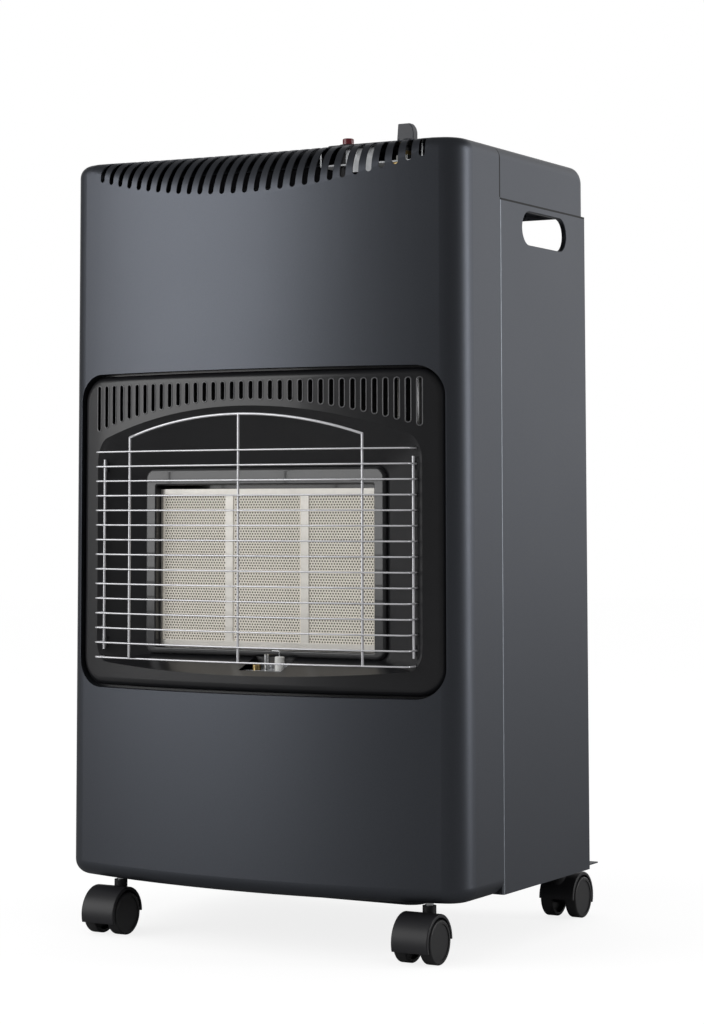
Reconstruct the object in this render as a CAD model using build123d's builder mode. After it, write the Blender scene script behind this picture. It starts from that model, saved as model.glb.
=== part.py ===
from build123d import *
import math
import os

# Portable gas cabinet heater. The front faces -Y, +X is the viewer's right and
# the casters stand on Z = 0.

os.makedirs("parts", exist_ok=True)

# ------------------------------------------------------------ driving dimensions
# Cabinet
WIDTH = 432.0  # over the side panels
BODY_HEIGHT = 690.5  # underside of the body to the top deck
GROUND_GAP = 54.5  # floor to the underside of the body
FRONT_DEPTH = 79.3  # depth datum to the seam with the side panels
BODY_DEPTH = 271.3  # depth datum to the rear edge of the side panels
BOW_R = 705.0  # bow of the front, in plan
FRONT_BOW = 32.0  # middle of the front ahead of the depth datum, near its corners
SHEET = 1.0  # steel sheet
FLANGE = 13.0  # edges turned in where sheets meet
FRONT_CORNER_R = 29.0
TOP_ROLL_R = 12.0  # edge of the deck at the sides, the corners and the rear
FOOT_ROLL_R = 14.0
SEAT_GAP = 0.3  # between curved faces that only rest on each other
CUT_THROUGH = 20.0  # how far a cutting tool runs past what it cuts

# Crown: the roll from the front into the top deck is large in the middle
CROWN_MID_R = 50.0
CROWN_SPREAD = 186.0
ROLL_OVERCUT = 0.15
CROWN_SLOTS = 29
CROWN_SLOT_PITCH = 12.7
CROWN_SLOT_SHIFT = 4.3
CROWN_SLOT_WIDTH = 5.8
CROWN_SLOT_DROP_MID = 43.5
CROWN_SLOT_DROP_END = 19.5
CROWN_SLOT_REACH_MID = 52.0
CROWN_SLOT_REACH_END = 17.0

# Window and its surround
WINDOW_MARGIN = 16.0  # window to the side of the cabinet
WINDOW_HEIGHT = 301.0
WINDOW_BOTTOM = 181.0  # above the underside of the body
WINDOW_R = 28.0
WINDOW_LIP = 11.5  # edge of the opening rolled in
SURROUND_GAP = 2.0  # between the window's edge and the surround
SURROUND_SET_BACK = 2.6
SURROUND_ROLL_R = 8.0
SURROUND_TAB = 8.0  # flange behind the window's lip
SURROUND_SLOTS = 35
SURROUND_SLOT_PITCH = 10.364
SURROUND_SLOT_WIDTH = 5.2
SURROUND_SLOT_TOP = 471.0
SURROUND_SLOT_BOTTOM_MID = 453.4
SURROUND_SLOT_BOTTOM_END = 427.0

# Recess in the surround, a funnel that narrows to the burner
THROAT_DEPTH = 12.0  # behind the front corners
THROAT_WIDTH = 265.0
THROAT_BOTTOM = 213.5
THROAT_TOP = 390.3
THROAT_R = 10.0
FUNNEL_SIDE_SLOPE = 2.47  # spread per millimetre of depth
FUNNEL_TOP_SLOPE = 1.39
FUNNEL_BOTTOM_SLOPE = 0.373
FUNNEL_CORNER_SLOPE = 0.5
FUNNEL_LENGTH = 47.0
FUNNEL_SKIN = 0.6  # growth of the sheet behind the funnel, besides its shift back

# Reflector: the bead round the burner and the box behind it
BEAD_PROUD = 4.0
BEAD_R = 3.2
REFLECTOR_TAB = 7.0

# Burner
BURNER_GAP = 0.5  # reflector to the burner at the sides and the bottom
BURNER_TOP_GAP = 3.7
BURNER_DEPTH = 17.0  # face of the plaques, behind the front corners
BURNER_WIDTH = 239.0
BURNER_BOTTOM = 220.6
BURNER_TOP = 370.8
PLAQUES = 3
DIVIDER_WIDTH = 8.5
FRAME_BORDER_Z = 6.5
FRAME_BORDER_X = 2.0
FRAME_SHEET = 0.8
CENTRE_WINDOW = 75.0
PLAQUE_THICK = 13.0
PLAQUE_LEDGE = 3.0
BURNER_WALL = 1.5
BURNER_BOX_DEPTH = 40.0
TUBE_R = 9.0
TUBE_WALL = 1.0
TUBE_LENGTH = 66.0
TUBE_MOUTH_R = 11.0
TUBE_MOUTH_HEIGHT = 8.0
AIR_GAP = 6.0  # between an injector and its mixing tube
MANIFOLD_SIDE = 14.0
MANIFOLD_BORE_R = 4.0
MANIFOLD_OVERHANG = 14.0
INJECTOR_R = 4.0
INJECTOR_HEIGHT = 12.0
INJECTOR_ORIFICE_R = 0.4
INJECTOR_BORE_R = 1.5
UNION_LENGTH = 10.0
STRAP_WIDTH = 16.0

# Guard grille
GUARD_PROUD = 4.2  # wire centre line ahead of the front panel, at the middle
GUARD_BOW = 15.2
GUARD_HALF_WIDTH = 171.0
GUARD_RETURN = 27.0
GUARD_BEND_R = 5.0
GUARD_WIRES = 15
GUARD_WIRE_R = 0.8
GUARD_UPRIGHT_R = 1.2
GUARD_BOTTOM = 210.5
GUARD_PITCH = 14.0
GUARD_UPRIGHT_X = 127.2
GUARD_ARCH_RISE = 20.0
GUARD_ARCH_TOP = 440.0
GUARD_HOLE_GAP = 0.8
GUARD_WELD = 0.4  # how far crossed wires sink into each other
GUARD_SIDE_DEPTH = 14.0  # outer uprights, behind the bend of the wires
CLIP_WIDTH = 7.0
CLIP_HEIGHT = 10.0

# Side panels and lid
SIDE_TOP = 641.2
SIDE_BEND_R = 2.2
HANDLE_CENTRE_DEPTH = 176.8
HANDLE_CENTRE_HEIGHT = 618.0
HANDLE_LENGTH = 99.0
HANDLE_HEIGHT = 32.0
HANDLE_LIP = 5.0
REAR_FLANGE = 20.0
TONGUE_RISE = 22.0
TONGUE_WIDTH = 24.0
LID_REAR_R = 17.0
LID_LIP = 7.0  # how far the lid reaches over the rolled rear edge of the deck

# Screws that hold the side panels to the front panel
SCREW_HEIGHTS = (80.0, 350.0, 600.0)
SCREW_INSET = 7.0  # from the side of the cabinet
SCREW_R = 1.75
SCREW_HEAD_R = 3.5
SCREW_HEAD = 2.0
SCREW_LENGTH = 7.0

# Base
BASE_SHEET = 1.2
BASE_MARGIN = 8.0  # base pan to the side of the cabinet
BASE_REAR = 307.0
BASE_UPSTAND = 14.0
WELL_HALF_WIDTH = 125.5
WELL_FRONT = 75.0
WELL_REAR = 270.0
WELL_DEPTH = 17.7
WELL_DRAFT = 11.0
WELL_R = 14.0

# Heat shield between burner and bottle bay
SHIELD_DEPTH = 108.0
SHIELD_TOP = 617.0
SHIELD_FLANGE = 15.0

# Controls
CONTROL_DEPTH = 40.0
KNOB_X = 139.0
BUTTON_X = 75.7
KNOB_PUSH = 5.0
KNOB_TOP = 20.5  # above the deck
KNOB_LIFT = 0.5  # underside above the deck
KNOB_HOLE_GAP = 0.8
KNOB_GRIP_WIDTH = 18.0
KNOB_GRIP_THICK = 8.5
KNOB_LEAN = 1.5
KNOB_SHOULDER_WIDTH = 4.5
KNOB_SHOULDER_DROP = 9.5
KNOB_SKIRT_R = 9.2
KNOB_SKIRT_HEIGHT = 5.0
KNOB_EDGE_R = 0.8
KNOB_BORE_DEPTH = 14.0
BUTTON_TOP = 11.0
BUTTON_R = 5.4
BUTTON_STROKE = 6.0
BUTTON_EDGE_R = 1.2
BUTTON_GUIDE = 14.0  # how far the button reaches below the deck
COLLAR_R = 8.6
COLLAR_HEIGHT = 1.5
PLATE_RISE = 3.5
PLATE_LEFT = 58.0
PLATE_RIGHT = 158.0
PLATE_FRONT = 26.0
PLATE_REAR = 62.0
PLATE_R = 8.0
PLATE_EDGE_R = 0.9
RUNNING = 0.05  # radial clearance of a turning or sliding shaft
CLEARANCE = 0.3  # between pieces that move past each other
SPINDLE_R = 4.0
SPINDLE_FLAT = 2.6  # axis to the flat of the D at the knob
SPINDLE_ENGAGED = 10.0
PLUG_R = 9.0
PLUG_HEIGHT = 26.0
PLUG_PORT_R = 2.5
VALVE_R = 17.0
VALVE_HEIGHT = 56.0
TAIL_RISE = 10.0  # axis of the hose tail above the foot of the valve
VALVE_NECK_R = 8.0
VALVE_NECK_DROP = 4.5  # end of the neck below the deck sheet
VALVE_CAP = 8.0
VALVE_EDGE_R = 1.5
INLET_R = 9.0
INLET_LENGTH = 8.0
IGNITER_R = 8.5
IGNITER_LENGTH = 48.0
IGNITER_WALL = 1.5
NUT_HEIGHT = 5.0
NUT_R = 12.0
BRACKET_DROP = 14.0
BRACKET_MARGIN = 5.0
BRACKET_SHEET = 1.5
SKIRT_LEFT = 81.0
SKIRT_RIGHT = 114.0
SKIRT_HEIGHT = 22.0
HOSE_TAIL_R = 4.5
HOSE_TAIL_LENGTH = 24.0
HOSE_TAIL_BORE_R = 2.5
HOSE_TAIL_SHANK = 52.0
HOSE_TAIL_SHANK_R = 6.0
PIPE_R = 4.0
PIPE_WALL = 1.0
PIPE_BEND_R = 14.0
PIPE_X = 150.0
PIPE_DROP = 40.0  # straight run below the valve
PIPE_SHIFT = 50.0  # height over which a pipe moves to its place at the side
PILOT_PIPE_R = 2.0
PILOT_PIPE_BEND_R = 7.0
PILOT_PIPE_X = 140.0
PILOT_PIPE_DEPTH = 56.0
LEAD_R = 1.5
LEAD_X = 133.0
LEAD_DEPTH = 34.0
THERMO_LEAD_R = 1.2
THERMO_LEAD_DEPTH = 46.0
LEAD_BEND_R = 5.0
LEAD_STEP = 5.0  # spacing in height of the runs below the burner
LEAD_TURN = 30.0
UNDER_BURNER = 180.0  # height at which pipe and leads cross below the burner

# Pilot, in front of the burner's lower edge
PILOT_DEPTH = -3.0
PILOT_BURNER_X = 1.0
THERMOCOUPLE_X = 12.0
ELECTRODE_X = 26.0
SHELF_HEIGHT = 202.2
SHELF_LEFT = -10.0
SHELF_RIGHT = 36.0
SHELF_FRONT = -10.0
SHELF_SHEET = 1.2
SHELF_BACK_RISE = 10.0
PILOT_BURNER_R = 4.0
PILOT_BURNER_RISE = 6.0
THERMOCOUPLE_R = 2.5
THERMOCOUPLE_RISE = 15.0
ELECTRODE_R = 4.6
ELECTRODE_RISE = 13.0
ELECTRODE_WIRE_R = 0.75
ELECTRODE_WIRE_RISE = 5.0
ELECTRODE_HOOK = 8.0
SHANK_R = 1.8
SHANK_DROP = 8.0

# Casters
CASTER_FRONT_INSET = 47.4  # from the side of the cabinet
CASTER_REAR_INSET = 44.5
CASTER_FRONT = 22.8
CASTER_REAR = 296.0
CASTER_TRAIL = 15.0
WHEEL_R = 20.0
WHEEL_WIDTH = 12.0
WHEEL_SPACING = 26.5
WHEEL_GAP = 0.5  # wheel to web
WHEEL_RIM = 3.5
WHEEL_DISH = 0.8
WHEEL_EDGE_R = 1.5
HOOD_R = 25.0
HOOD_WALL = 3.0
HOOD_WIDTH = 37.0
HOOD_SKIRT = 12.5  # lower edge above the floor on the trailing side
HOOD_EDGE_R = 1.2
AXLE_R = 3.0
AXLE_GRIP = 9.0  # how far the axle reaches into a wheel
HUB_R = 7.0
STEM_R = 3.8
STEM_SHOWN = 5.0
STEM_INSERT = 18.0
BOSS_R = 6.3
BOSS_DEPTH = 16.0
SOCKET_HEIGHT = 4.0
SOCKET_R = 8.0

# ------------------------------------------------------------ datum planes
half_width = WIDTH / 2
window_width = WIDTH - 2 * WINDOW_MARGIN
base_half_width = half_width - BASE_MARGIN
front_reach = FRONT_BOW + GUARD_PROUD + GUARD_WIRE_R
rear_reach = CASTER_REAR + CASTER_TRAIL + HOOD_R
corner_y = (front_reach - rear_reach) / 2
body_z = GROUND_GAP
deck_z = body_z + BODY_HEIGHT
seam_y = corner_y + FRONT_DEPTH
rear_y = corner_y + BODY_DEPTH
bow_centre_y = corner_y - FRONT_BOW + BOW_R
control_y = corner_y + CONTROL_DEPTH
under_deck = deck_z - SHEET
bracket_top = under_deck - BRACKET_DROP
shelf_z = body_z + SHELF_HEIGHT
pilot_y = corner_y + PILOT_DEPTH
igniter_neck_r = BUTTON_R + RUNNING + IGNITER_WALL
knob_hole_r = KNOB_SKIRT_R + KNOB_HOLE_GAP
screw_x = half_width - SCREW_INSET
screw_places = [(side * screw_x, body_z + z) for side in (-1, 1) for z in SCREW_HEIGHTS]


def bow_y(x, inset=0.0):
    """Y of the bowed front at x, set in along its radius."""
    return bow_centre_y - math.sqrt((BOW_R - inset) ** 2 - x**2)


def facing_front(y):
    """Sketch plane at y, seen from the front: local x is X, local y is Z."""
    return Plane.XZ.offset(-y)


def bow_slab(front_inset, rear_inset, half, low, high):
    """Curved slab between two insets of the bowed front."""
    with BuildPart() as slab:
        with BuildSketch(Plane.XY.offset(low)):
            with BuildLine():
                arcs = [
                    ThreePointArc(
                        (-half, bow_y(half, inset)), (0, bow_y(0, inset)), (half, bow_y(half, inset))
                    )
                    for inset in (front_inset, rear_inset)
                ]
                Line(arcs[0] @ 0, arcs[1] @ 0)
                Line(arcs[0] @ 1, arcs[1] @ 1)
            make_face()
        extrude(amount=high - low)
    return slab.part


def finish(piece, name):
    """Label a finished piece and write it."""
    piece.part.label = name
    export_step(piece.part, f"parts/{name}.step")


# ------------------------------------------------------------ front panel
def crown_radius(x):
    """Radius of the crown roll at x."""
    return TOP_ROLL_R + (CROWN_MID_R - TOP_ROLL_R) * max(0.0, 1 - (x / CROWN_SPREAD) ** 2)


def crown_cutter(inset):
    """Solid that rolls the front into the deck with a radius that changes along X."""
    stations = [0, 60, 120, 165, 190, half_width + CUT_THROUGH]
    sections = []
    for x in sorted({-s for s in stations} | set(stations)):
        radius = crown_radius(x)
        centre_y = bow_y(x) + radius
        centre_z = deck_z - radius
        arc_r = radius - inset + ROLL_OVERCUT
        far_y = centre_y - radius - CUT_THROUGH
        far_z = deck_z + CUT_THROUGH
        slant = math.sqrt(0.5) * arc_r
        with BuildSketch(Plane.YZ.offset(x)) as section:
            with BuildLine():
                roll = ThreePointArc(
                    (centre_y - arc_r, centre_z),
                    (centre_y - slant, centre_z + slant),
                    (centre_y, centre_z + arc_r),
                )
                Polyline(roll @ 1, (centre_y, far_z), (far_y, far_z), (far_y, centre_z), roll @ 0)
            make_face()
        sections.append(section.sketch)
    return loft(sections, mode=Mode.PRIVATE)


def front_form(inset, rear):
    """Solid of the front panel's outside, set in by inset, reaching back to rear."""
    half = half_width - inset
    with BuildPart() as form:
        with BuildSketch(Plane.XY.offset(body_z + inset)):
            with BuildLine():
                front = ThreePointArc(
                    (-half, bow_y(half, inset)), (0, bow_y(0, inset)), (half, bow_y(half, inset))
                )
                Polyline(front @ 1, (half, rear), (-half, rear), front @ 0)
            outline = make_face()
            fillet(outline.vertices().group_by(Axis.Y)[0], FRONT_CORNER_R - inset)
        extrude(amount=BODY_HEIGHT - 2 * inset)
        fillet(form.faces().sort_by(Axis.Z)[-1].edges(), TOP_ROLL_R - inset)
        fillet(form.faces().sort_by(Axis.Z)[0].edges(), FOOT_ROLL_R - inset)
        add(crown_cutter(inset), mode=Mode.SUBTRACT)
    return form.part


window_z = body_z + WINDOW_BOTTOM + WINDOW_HEIGHT / 2


def window_prism(grow, front, rear):
    """Prism of the window's outline, grown by grow, from y = front to y = rear."""
    with BuildPart() as prism:
        with BuildSketch(facing_front(rear)):
            with Locations((0, window_z)):
                RectangleRounded(window_width + 2 * grow, WINDOW_HEIGHT + 2 * grow, WINDOW_R + grow)
        extrude(amount=rear - front)
    return prism.part


def along_crown(count, pitch, shift):
    """Angles of the radial crown slots about the bow's axis."""
    return [((i - (count - 1) / 2) * pitch + shift) / BOW_R for i in range(count)]


window_front = bow_y(0) - CUT_THROUGH
window_rear = bow_y(half_width, WINDOW_LIP) + CUT_THROUGH
last_slot = (CROWN_SLOTS - 1) / 2 * CROWN_SLOT_PITCH

with BuildPart() as crown_slots:
    for angle in along_crown(CROWN_SLOTS, CROWN_SLOT_PITCH, CROWN_SLOT_SHIFT):
        share = (angle * BOW_R / last_slot) ** 2
        drop = CROWN_SLOT_DROP_MID + (CROWN_SLOT_DROP_END - CROWN_SLOT_DROP_MID) * share
        reach = CROWN_SLOT_REACH_MID + (CROWN_SLOT_REACH_END - CROWN_SLOT_REACH_MID) * share
        reach -= CROWN_SLOT_WIDTH / 2
        radial = Vector(math.sin(angle), -math.cos(angle))
        top = Vector(0, bow_centre_y, deck_z) + radial * (BOW_R - reach)
        slot_plane = Plane(top, x_dir=(math.cos(angle), math.sin(angle), 0), z_dir=radial)
        with BuildSketch(slot_plane):
            with Locations((0, (CUT_THROUGH - drop) / 2)):
                SlotOverall(drop + CUT_THROUGH, CROWN_SLOT_WIDTH, rotation=90)
        extrude(amount=reach + CUT_THROUGH)

with BuildPart() as front_panel:
    add(front_form(0, seam_y))
    add(front_form(SHEET, seam_y - SHEET), mode=Mode.SUBTRACT)
    # Open back, framed by a flange at the sides and the top
    flange_foot = deck_z - TOP_ROLL_R - FLANGE
    with BuildSketch(facing_front(seam_y)):
        with Locations((0, (body_z + flange_foot) / 2)):
            Rectangle(WIDTH - 2 * (SHEET + FLANGE), flange_foot - body_z)
    extrude(amount=FOOT_ROLL_R + SHEET, mode=Mode.SUBTRACT)
    # Foot opening, which leaves a flange along the bottom edge
    with BuildSketch(Plane.XY.offset(body_z)):
        with BuildLine():
            half = half_width - FOOT_ROLL_R - 2 * SHEET
            end_y = bow_y(half) + 2 * FLANGE
            front = ThreePointArc((-half, end_y), (0, bow_y(0) + 2 * FLANGE), (half, end_y))
            Polyline(front @ 1, (half, seam_y), (-half, seam_y), front @ 0)
        make_face()
    extrude(amount=SHEET, mode=Mode.SUBTRACT)
    # Window with its rolled-in lip
    lip_slab = bow_slab(SHEET / 2, WINDOW_LIP, half_width, body_z, deck_z)
    add(lip_slab & window_prism(SHEET, window_front, window_rear))
    add(window_prism(0, window_front, window_rear), mode=Mode.SUBTRACT)
    add(crown_slots.part, mode=Mode.SUBTRACT)
    with BuildSketch(Plane.XY.offset(under_deck)):
        with Locations((KNOB_X, control_y)):
            Circle(knob_hole_r)
        with Locations((BUTTON_X, control_y)):
            Circle(igniter_neck_r + CLEARANCE)
    extrude(amount=SHEET, mode=Mode.SUBTRACT)
    with BuildSketch(facing_front(seam_y)):
        with Locations(*screw_places):
            Circle(SCREW_R + CLEARANCE)
    extrude(amount=2 * SHEET, mode=Mode.SUBTRACT)
finish(front_panel, "front_panel")


# ------------------------------------------------------------ window surround
guard_mid_y = corner_y - FRONT_BOW - GUARD_PROUD
guard_end_y = guard_mid_y + GUARD_BOW
guard_levels = [body_z + GUARD_BOTTOM + i * GUARD_PITCH for i in range(GUARD_WIRES)]
upright_back = GUARD_WIRE_R + GUARD_UPRIGHT_R - GUARD_WELD
inner_upright_y = guard_mid_y + GUARD_BOW * (GUARD_UPRIGHT_X / GUARD_HALF_WIDTH) ** 2 + upright_back
arch_end_z = body_z + GUARD_ARCH_TOP - GUARD_ARCH_RISE
side_upright_x = GUARD_HALF_WIDTH - upright_back
side_upright_y = guard_end_y + GUARD_SIDE_DEPTH

throat_y = corner_y + THROAT_DEPTH
throat_height = THROAT_TOP - THROAT_BOTTOM
throat_z = body_z + (THROAT_TOP + THROAT_BOTTOM) / 2
flange_front = WINDOW_LIP + SEAT_GAP
flange_rear = flange_front + SHEET


def throat_outline(grow):
    """Rounded outline of the recess's narrow end, grown by grow."""
    with Locations((0, throat_z)):
        corner = max(THROAT_R + grow, SHEET)
        RectangleRounded(THROAT_WIDTH + 2 * grow, throat_height + 2 * grow, corner)


def throat_prism(grow, front, rear):
    """Prism of the throat's outline from y = front to y = rear."""
    with BuildPart() as prism:
        with BuildSketch(facing_front(rear)):
            throat_outline(grow)
        extrude(amount=rear - front)
    return prism.part


def funnel(grow, back):
    """Tapering void of the recess, grown by grow and moved back."""
    spread_x = FUNNEL_LENGTH * FUNNEL_SIDE_SLOPE + grow
    spread_top = FUNNEL_LENGTH * FUNNEL_TOP_SLOPE + grow
    spread_bottom = FUNNEL_LENGTH * FUNNEL_BOTTOM_SLOPE + grow
    with BuildPart() as void:
        with BuildSketch(facing_front(throat_y + back)):
            throat_outline(grow)
        with BuildSketch(facing_front(throat_y + back - FUNNEL_LENGTH)):
            with Locations((0, throat_z + (spread_top - spread_bottom) / 2)):
                RectangleRounded(
                    THROAT_WIDTH + 2 * spread_x,
                    throat_height + spread_top + spread_bottom,
                    THROAT_R + FUNNEL_LENGTH * FUNNEL_CORNER_SLOPE + grow,
                )
        loft(ruled=True)
    return void.part


def surround_block(inset, rear_inset):
    """Cushion-shaped block that fills the window, set in by inset."""
    with BuildPart() as block:
        add(bow_slab(SURROUND_SET_BACK + inset, rear_inset, half_width, body_z, deck_z))
        add(window_prism(-SURROUND_GAP - inset, window_front, window_rear), mode=Mode.INTERSECT)
        face = block.faces().sort_by(Axis.Y)[0]
        fillet(face.edges(), SURROUND_ROLL_R - inset)
    return block.part


recess = funnel(0, 0) + throat_prism(0, throat_y - SHEET, throat_y + CUT_THROUGH)
surround_slot_span = (SURROUND_SLOTS - 1) / 2 * SURROUND_SLOT_PITCH

with BuildPart() as window_surround:
    add(surround_block(0, flange_rear))
    add(surround_block(SHEET, flange_rear + CUT_THROUGH), mode=Mode.SUBTRACT)
    tab = bow_slab(flange_front, flange_rear, half_width - SHEET - CLEARANCE, body_z, deck_z)
    tab = tab & window_prism(SURROUND_TAB - SURROUND_GAP, window_front, window_rear)
    add(tab - window_prism(-SURROUND_GAP - SHEET, window_front, window_rear))
    behind_face = bow_slab(SURROUND_SET_BACK, FUNNEL_LENGTH * 2, half_width, body_z, deck_z)
    skin = funnel(FUNNEL_SKIN, SHEET) & behind_face
    add(skin & window_prism(-SURROUND_GAP, window_front, throat_y + SHEET))
    add(recess, mode=Mode.SUBTRACT)
    # Slots above the recess, longer towards the sides
    with BuildSketch(facing_front(window_rear)):
        for i in range(SURROUND_SLOTS):
            x = (i - (SURROUND_SLOTS - 1) / 2) * SURROUND_SLOT_PITCH
            share = (x / surround_slot_span) ** 2
            bottom = SURROUND_SLOT_BOTTOM_MID + (SURROUND_SLOT_BOTTOM_END - SURROUND_SLOT_BOTTOM_MID) * share
            with Locations((x, body_z + (SURROUND_SLOT_TOP + bottom) / 2)):
                SlotOverall(SURROUND_SLOT_TOP - bottom, SURROUND_SLOT_WIDTH, rotation=90)
    extrude(amount=window_rear - window_front, mode=Mode.SUBTRACT)
    # Holes for the ends of the guard's wires
    with BuildSketch(facing_front(throat_y)):
        with Locations(*[(side * GUARD_HALF_WIDTH, z) for side in (-1, 1) for z in guard_levels]):
            Circle(GUARD_WIRE_R + GUARD_HOLE_GAP)
    extrude(amount=FUNNEL_LENGTH, mode=Mode.SUBTRACT)
    # Notch that the pilot stands up through
    with BuildSketch(Plane.XY.offset(shelf_z)):
        with Locations(((SHELF_LEFT + SHELF_RIGHT) / 2, pilot_y)):
            Rectangle(SHELF_RIGHT - SHELF_LEFT, 2 * (throat_y + 2 * SHEET - pilot_y))
    extrude(amount=body_z + THROAT_BOTTOM + SHEET - shelf_z, mode=Mode.SUBTRACT)
finish(window_surround, "window_surround")

# ------------------------------------------------------------ reflector
bead_front = throat_y - BEAD_PROUD
burner_y = corner_y + BURNER_DEPTH
box_front = burner_y + PLAQUE_THICK
box_rear = burner_y + BURNER_BOX_DEPTH
reflector_rear = box_rear + SHEET
mixing_y = burner_y + (PLAQUE_THICK + BURNER_BOX_DEPTH) / 2
pocket_width = (BURNER_WIDTH - (PLAQUES + 1) * BURNER_WALL) / PLAQUES
plaque_pitch = pocket_width + BURNER_WALL
plaque_places = [(i - (PLAQUES - 1) / 2) * plaque_pitch for i in range(PLAQUES)]

mouth_height = BURNER_TOP + BURNER_TOP_GAP - BURNER_BOTTOM + BURNER_GAP
mouth_z = body_z + (BURNER_TOP + BURNER_TOP_GAP + BURNER_BOTTOM - BURNER_GAP) / 2


def mouth_prism(grow, front, rear):
    """Prism of the reflector's mouth round the burner, from y = front to y = rear."""
    with BuildPart() as prism:
        with BuildSketch(facing_front(rear)):
            with Locations((0, mouth_z)):
                width = BURNER_WIDTH + 2 * (BURNER_GAP + grow)
                RectangleRounded(width, mouth_height + 2 * grow, SHEET)
        extrude(amount=rear - front)
    return prism.part


with BuildPart() as bead_hollow:
    add(throat_prism(-SEAT_GAP / 2 - SHEET, bead_front + SHEET, throat_y + 2 * SHEET))
    fillet(bead_hollow.faces().sort_by(Axis.Y)[0].edges(), BEAD_R - SHEET)

with BuildPart() as reflector:
    add(throat_prism(-SEAT_GAP / 2, bead_front, throat_y + SHEET))
    fillet(reflector.faces().sort_by(Axis.Y)[0].edges(), BEAD_R)
    add(throat_prism(REFLECTOR_TAB, throat_y + SHEET, throat_y + 2 * SHEET))
    add(bead_hollow.part, mode=Mode.SUBTRACT)
    add(mouth_prism(SHEET, bead_front + SHEET / 2, reflector_rear))
    add(mouth_prism(0, bead_front - SHEET, box_rear), mode=Mode.SUBTRACT)
    add(mouth_prism(-REFLECTOR_TAB, box_rear, reflector_rear), mode=Mode.SUBTRACT)
    inner_mouth = reflector.faces().sort_by(Axis.Y)[0]
    fillet(inner_mouth.inner_wires()[0].edges(), BEAD_R / 2)
    with BuildSketch(Plane.XY.offset(body_z)):
        with Locations(*[(x, mixing_y) for x in plaque_places]):
            Circle(TUBE_R + SHEET)
    extrude(amount=BURNER_BOTTOM + BURNER_WALL, mode=Mode.SUBTRACT)
finish(reflector, "reflector")

# ------------------------------------------------------------ burner
burner_z = body_z + (BURNER_TOP + BURNER_BOTTOM) / 2
burner_height = BURNER_TOP - BURNER_BOTTOM
pocket_height = burner_height - 2 * BURNER_WALL
pockets = [(x, burner_z) for x in plaque_places]

with BuildPart() as burner_box:
    with BuildSketch(facing_front(box_rear)):
        with Locations((0, burner_z)):
            Rectangle(BURNER_WIDTH, burner_height)
    extrude(amount=BURNER_BOX_DEPTH)
    # Chambers behind the plaques, with a ledge that the plaques sit on
    with BuildSketch(facing_front(box_rear - BURNER_WALL)):
        with Locations(*pockets):
            Rectangle(pocket_width - 2 * PLAQUE_LEDGE, pocket_height - 2 * PLAQUE_LEDGE)
    extrude(amount=BURNER_BOX_DEPTH, mode=Mode.SUBTRACT)
    with BuildSketch(facing_front(box_front)):
        with Locations(*pockets):
            Rectangle(pocket_width, pocket_height)
    extrude(amount=PLAQUE_THICK, mode=Mode.SUBTRACT)
    with BuildSketch(Plane.XY.offset(body_z + BURNER_BOTTOM)):
        with Locations(*[(x, mixing_y) for x in plaque_places]):
            Circle(TUBE_R - TUBE_WALL)
    extrude(amount=2 * BURNER_WALL + PLAQUE_LEDGE, mode=Mode.SUBTRACT)
finish(burner_box, "burner_box")

for name, x in zip(("plaque_left", "plaque_centre", "plaque_right"), plaque_places):
    with BuildPart() as plaque:
        with BuildSketch(facing_front(box_front)):
            with Locations((x, burner_z)):
                Rectangle(pocket_width - CLEARANCE, pocket_height - CLEARANCE)
        extrude(amount=PLAQUE_THICK)
        chamfer(plaque.faces().sort_by(Axis.Y)[0].edges(), 0.5)
    finish(plaque, name)

with BuildPart() as plaque_frame:
    with BuildSketch(facing_front(burner_y)):
        with Locations((0, burner_z)):
            Rectangle(BURNER_WIDTH, burner_height)
            window_height = burner_height - 2 * FRAME_BORDER_Z
            Rectangle(CENTRE_WINDOW, window_height, mode=Mode.SUBTRACT)
        side_window = (BURNER_WIDTH - CENTRE_WINDOW) / 2 - DIVIDER_WIDTH - FRAME_BORDER_X
        side_x = (CENTRE_WINDOW + side_window) / 2 + DIVIDER_WIDTH
        with Locations((-side_x, burner_z), (side_x, burner_z)):
            Rectangle(side_window, window_height, mode=Mode.SUBTRACT)
    extrude(amount=FRAME_SHEET)
finish(plaque_frame, "plaque_frame")

tube_top = body_z + BURNER_BOTTOM
tube_foot = tube_top - TUBE_LENGTH

with BuildPart() as mixing_tubes:
    for x in plaque_places:
        with BuildSketch(facing_front(mixing_y)):
            with BuildLine():
                Polyline(
                    (x + TUBE_R - TUBE_WALL, tube_top),
                    (x + TUBE_R, tube_top),
                    (x + TUBE_R, tube_foot + TUBE_MOUTH_HEIGHT),
                    (x + TUBE_MOUTH_R, tube_foot),
                    (x + TUBE_MOUTH_R - TUBE_WALL, tube_foot),
                    (x + TUBE_R - TUBE_WALL, tube_foot + TUBE_MOUTH_HEIGHT),
                    close=True,
                )
            make_face()
        revolve(axis=Axis((x, mixing_y, 0), (0, 0, 1)))
finish(mixing_tubes, "mixing_tubes")

injector_foot = tube_foot - AIR_GAP - INJECTOR_HEIGHT
manifold_z = injector_foot - MANIFOLD_SIDE / 2
manifold_half = plaque_places[-1] + MANIFOLD_OVERHANG

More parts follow.
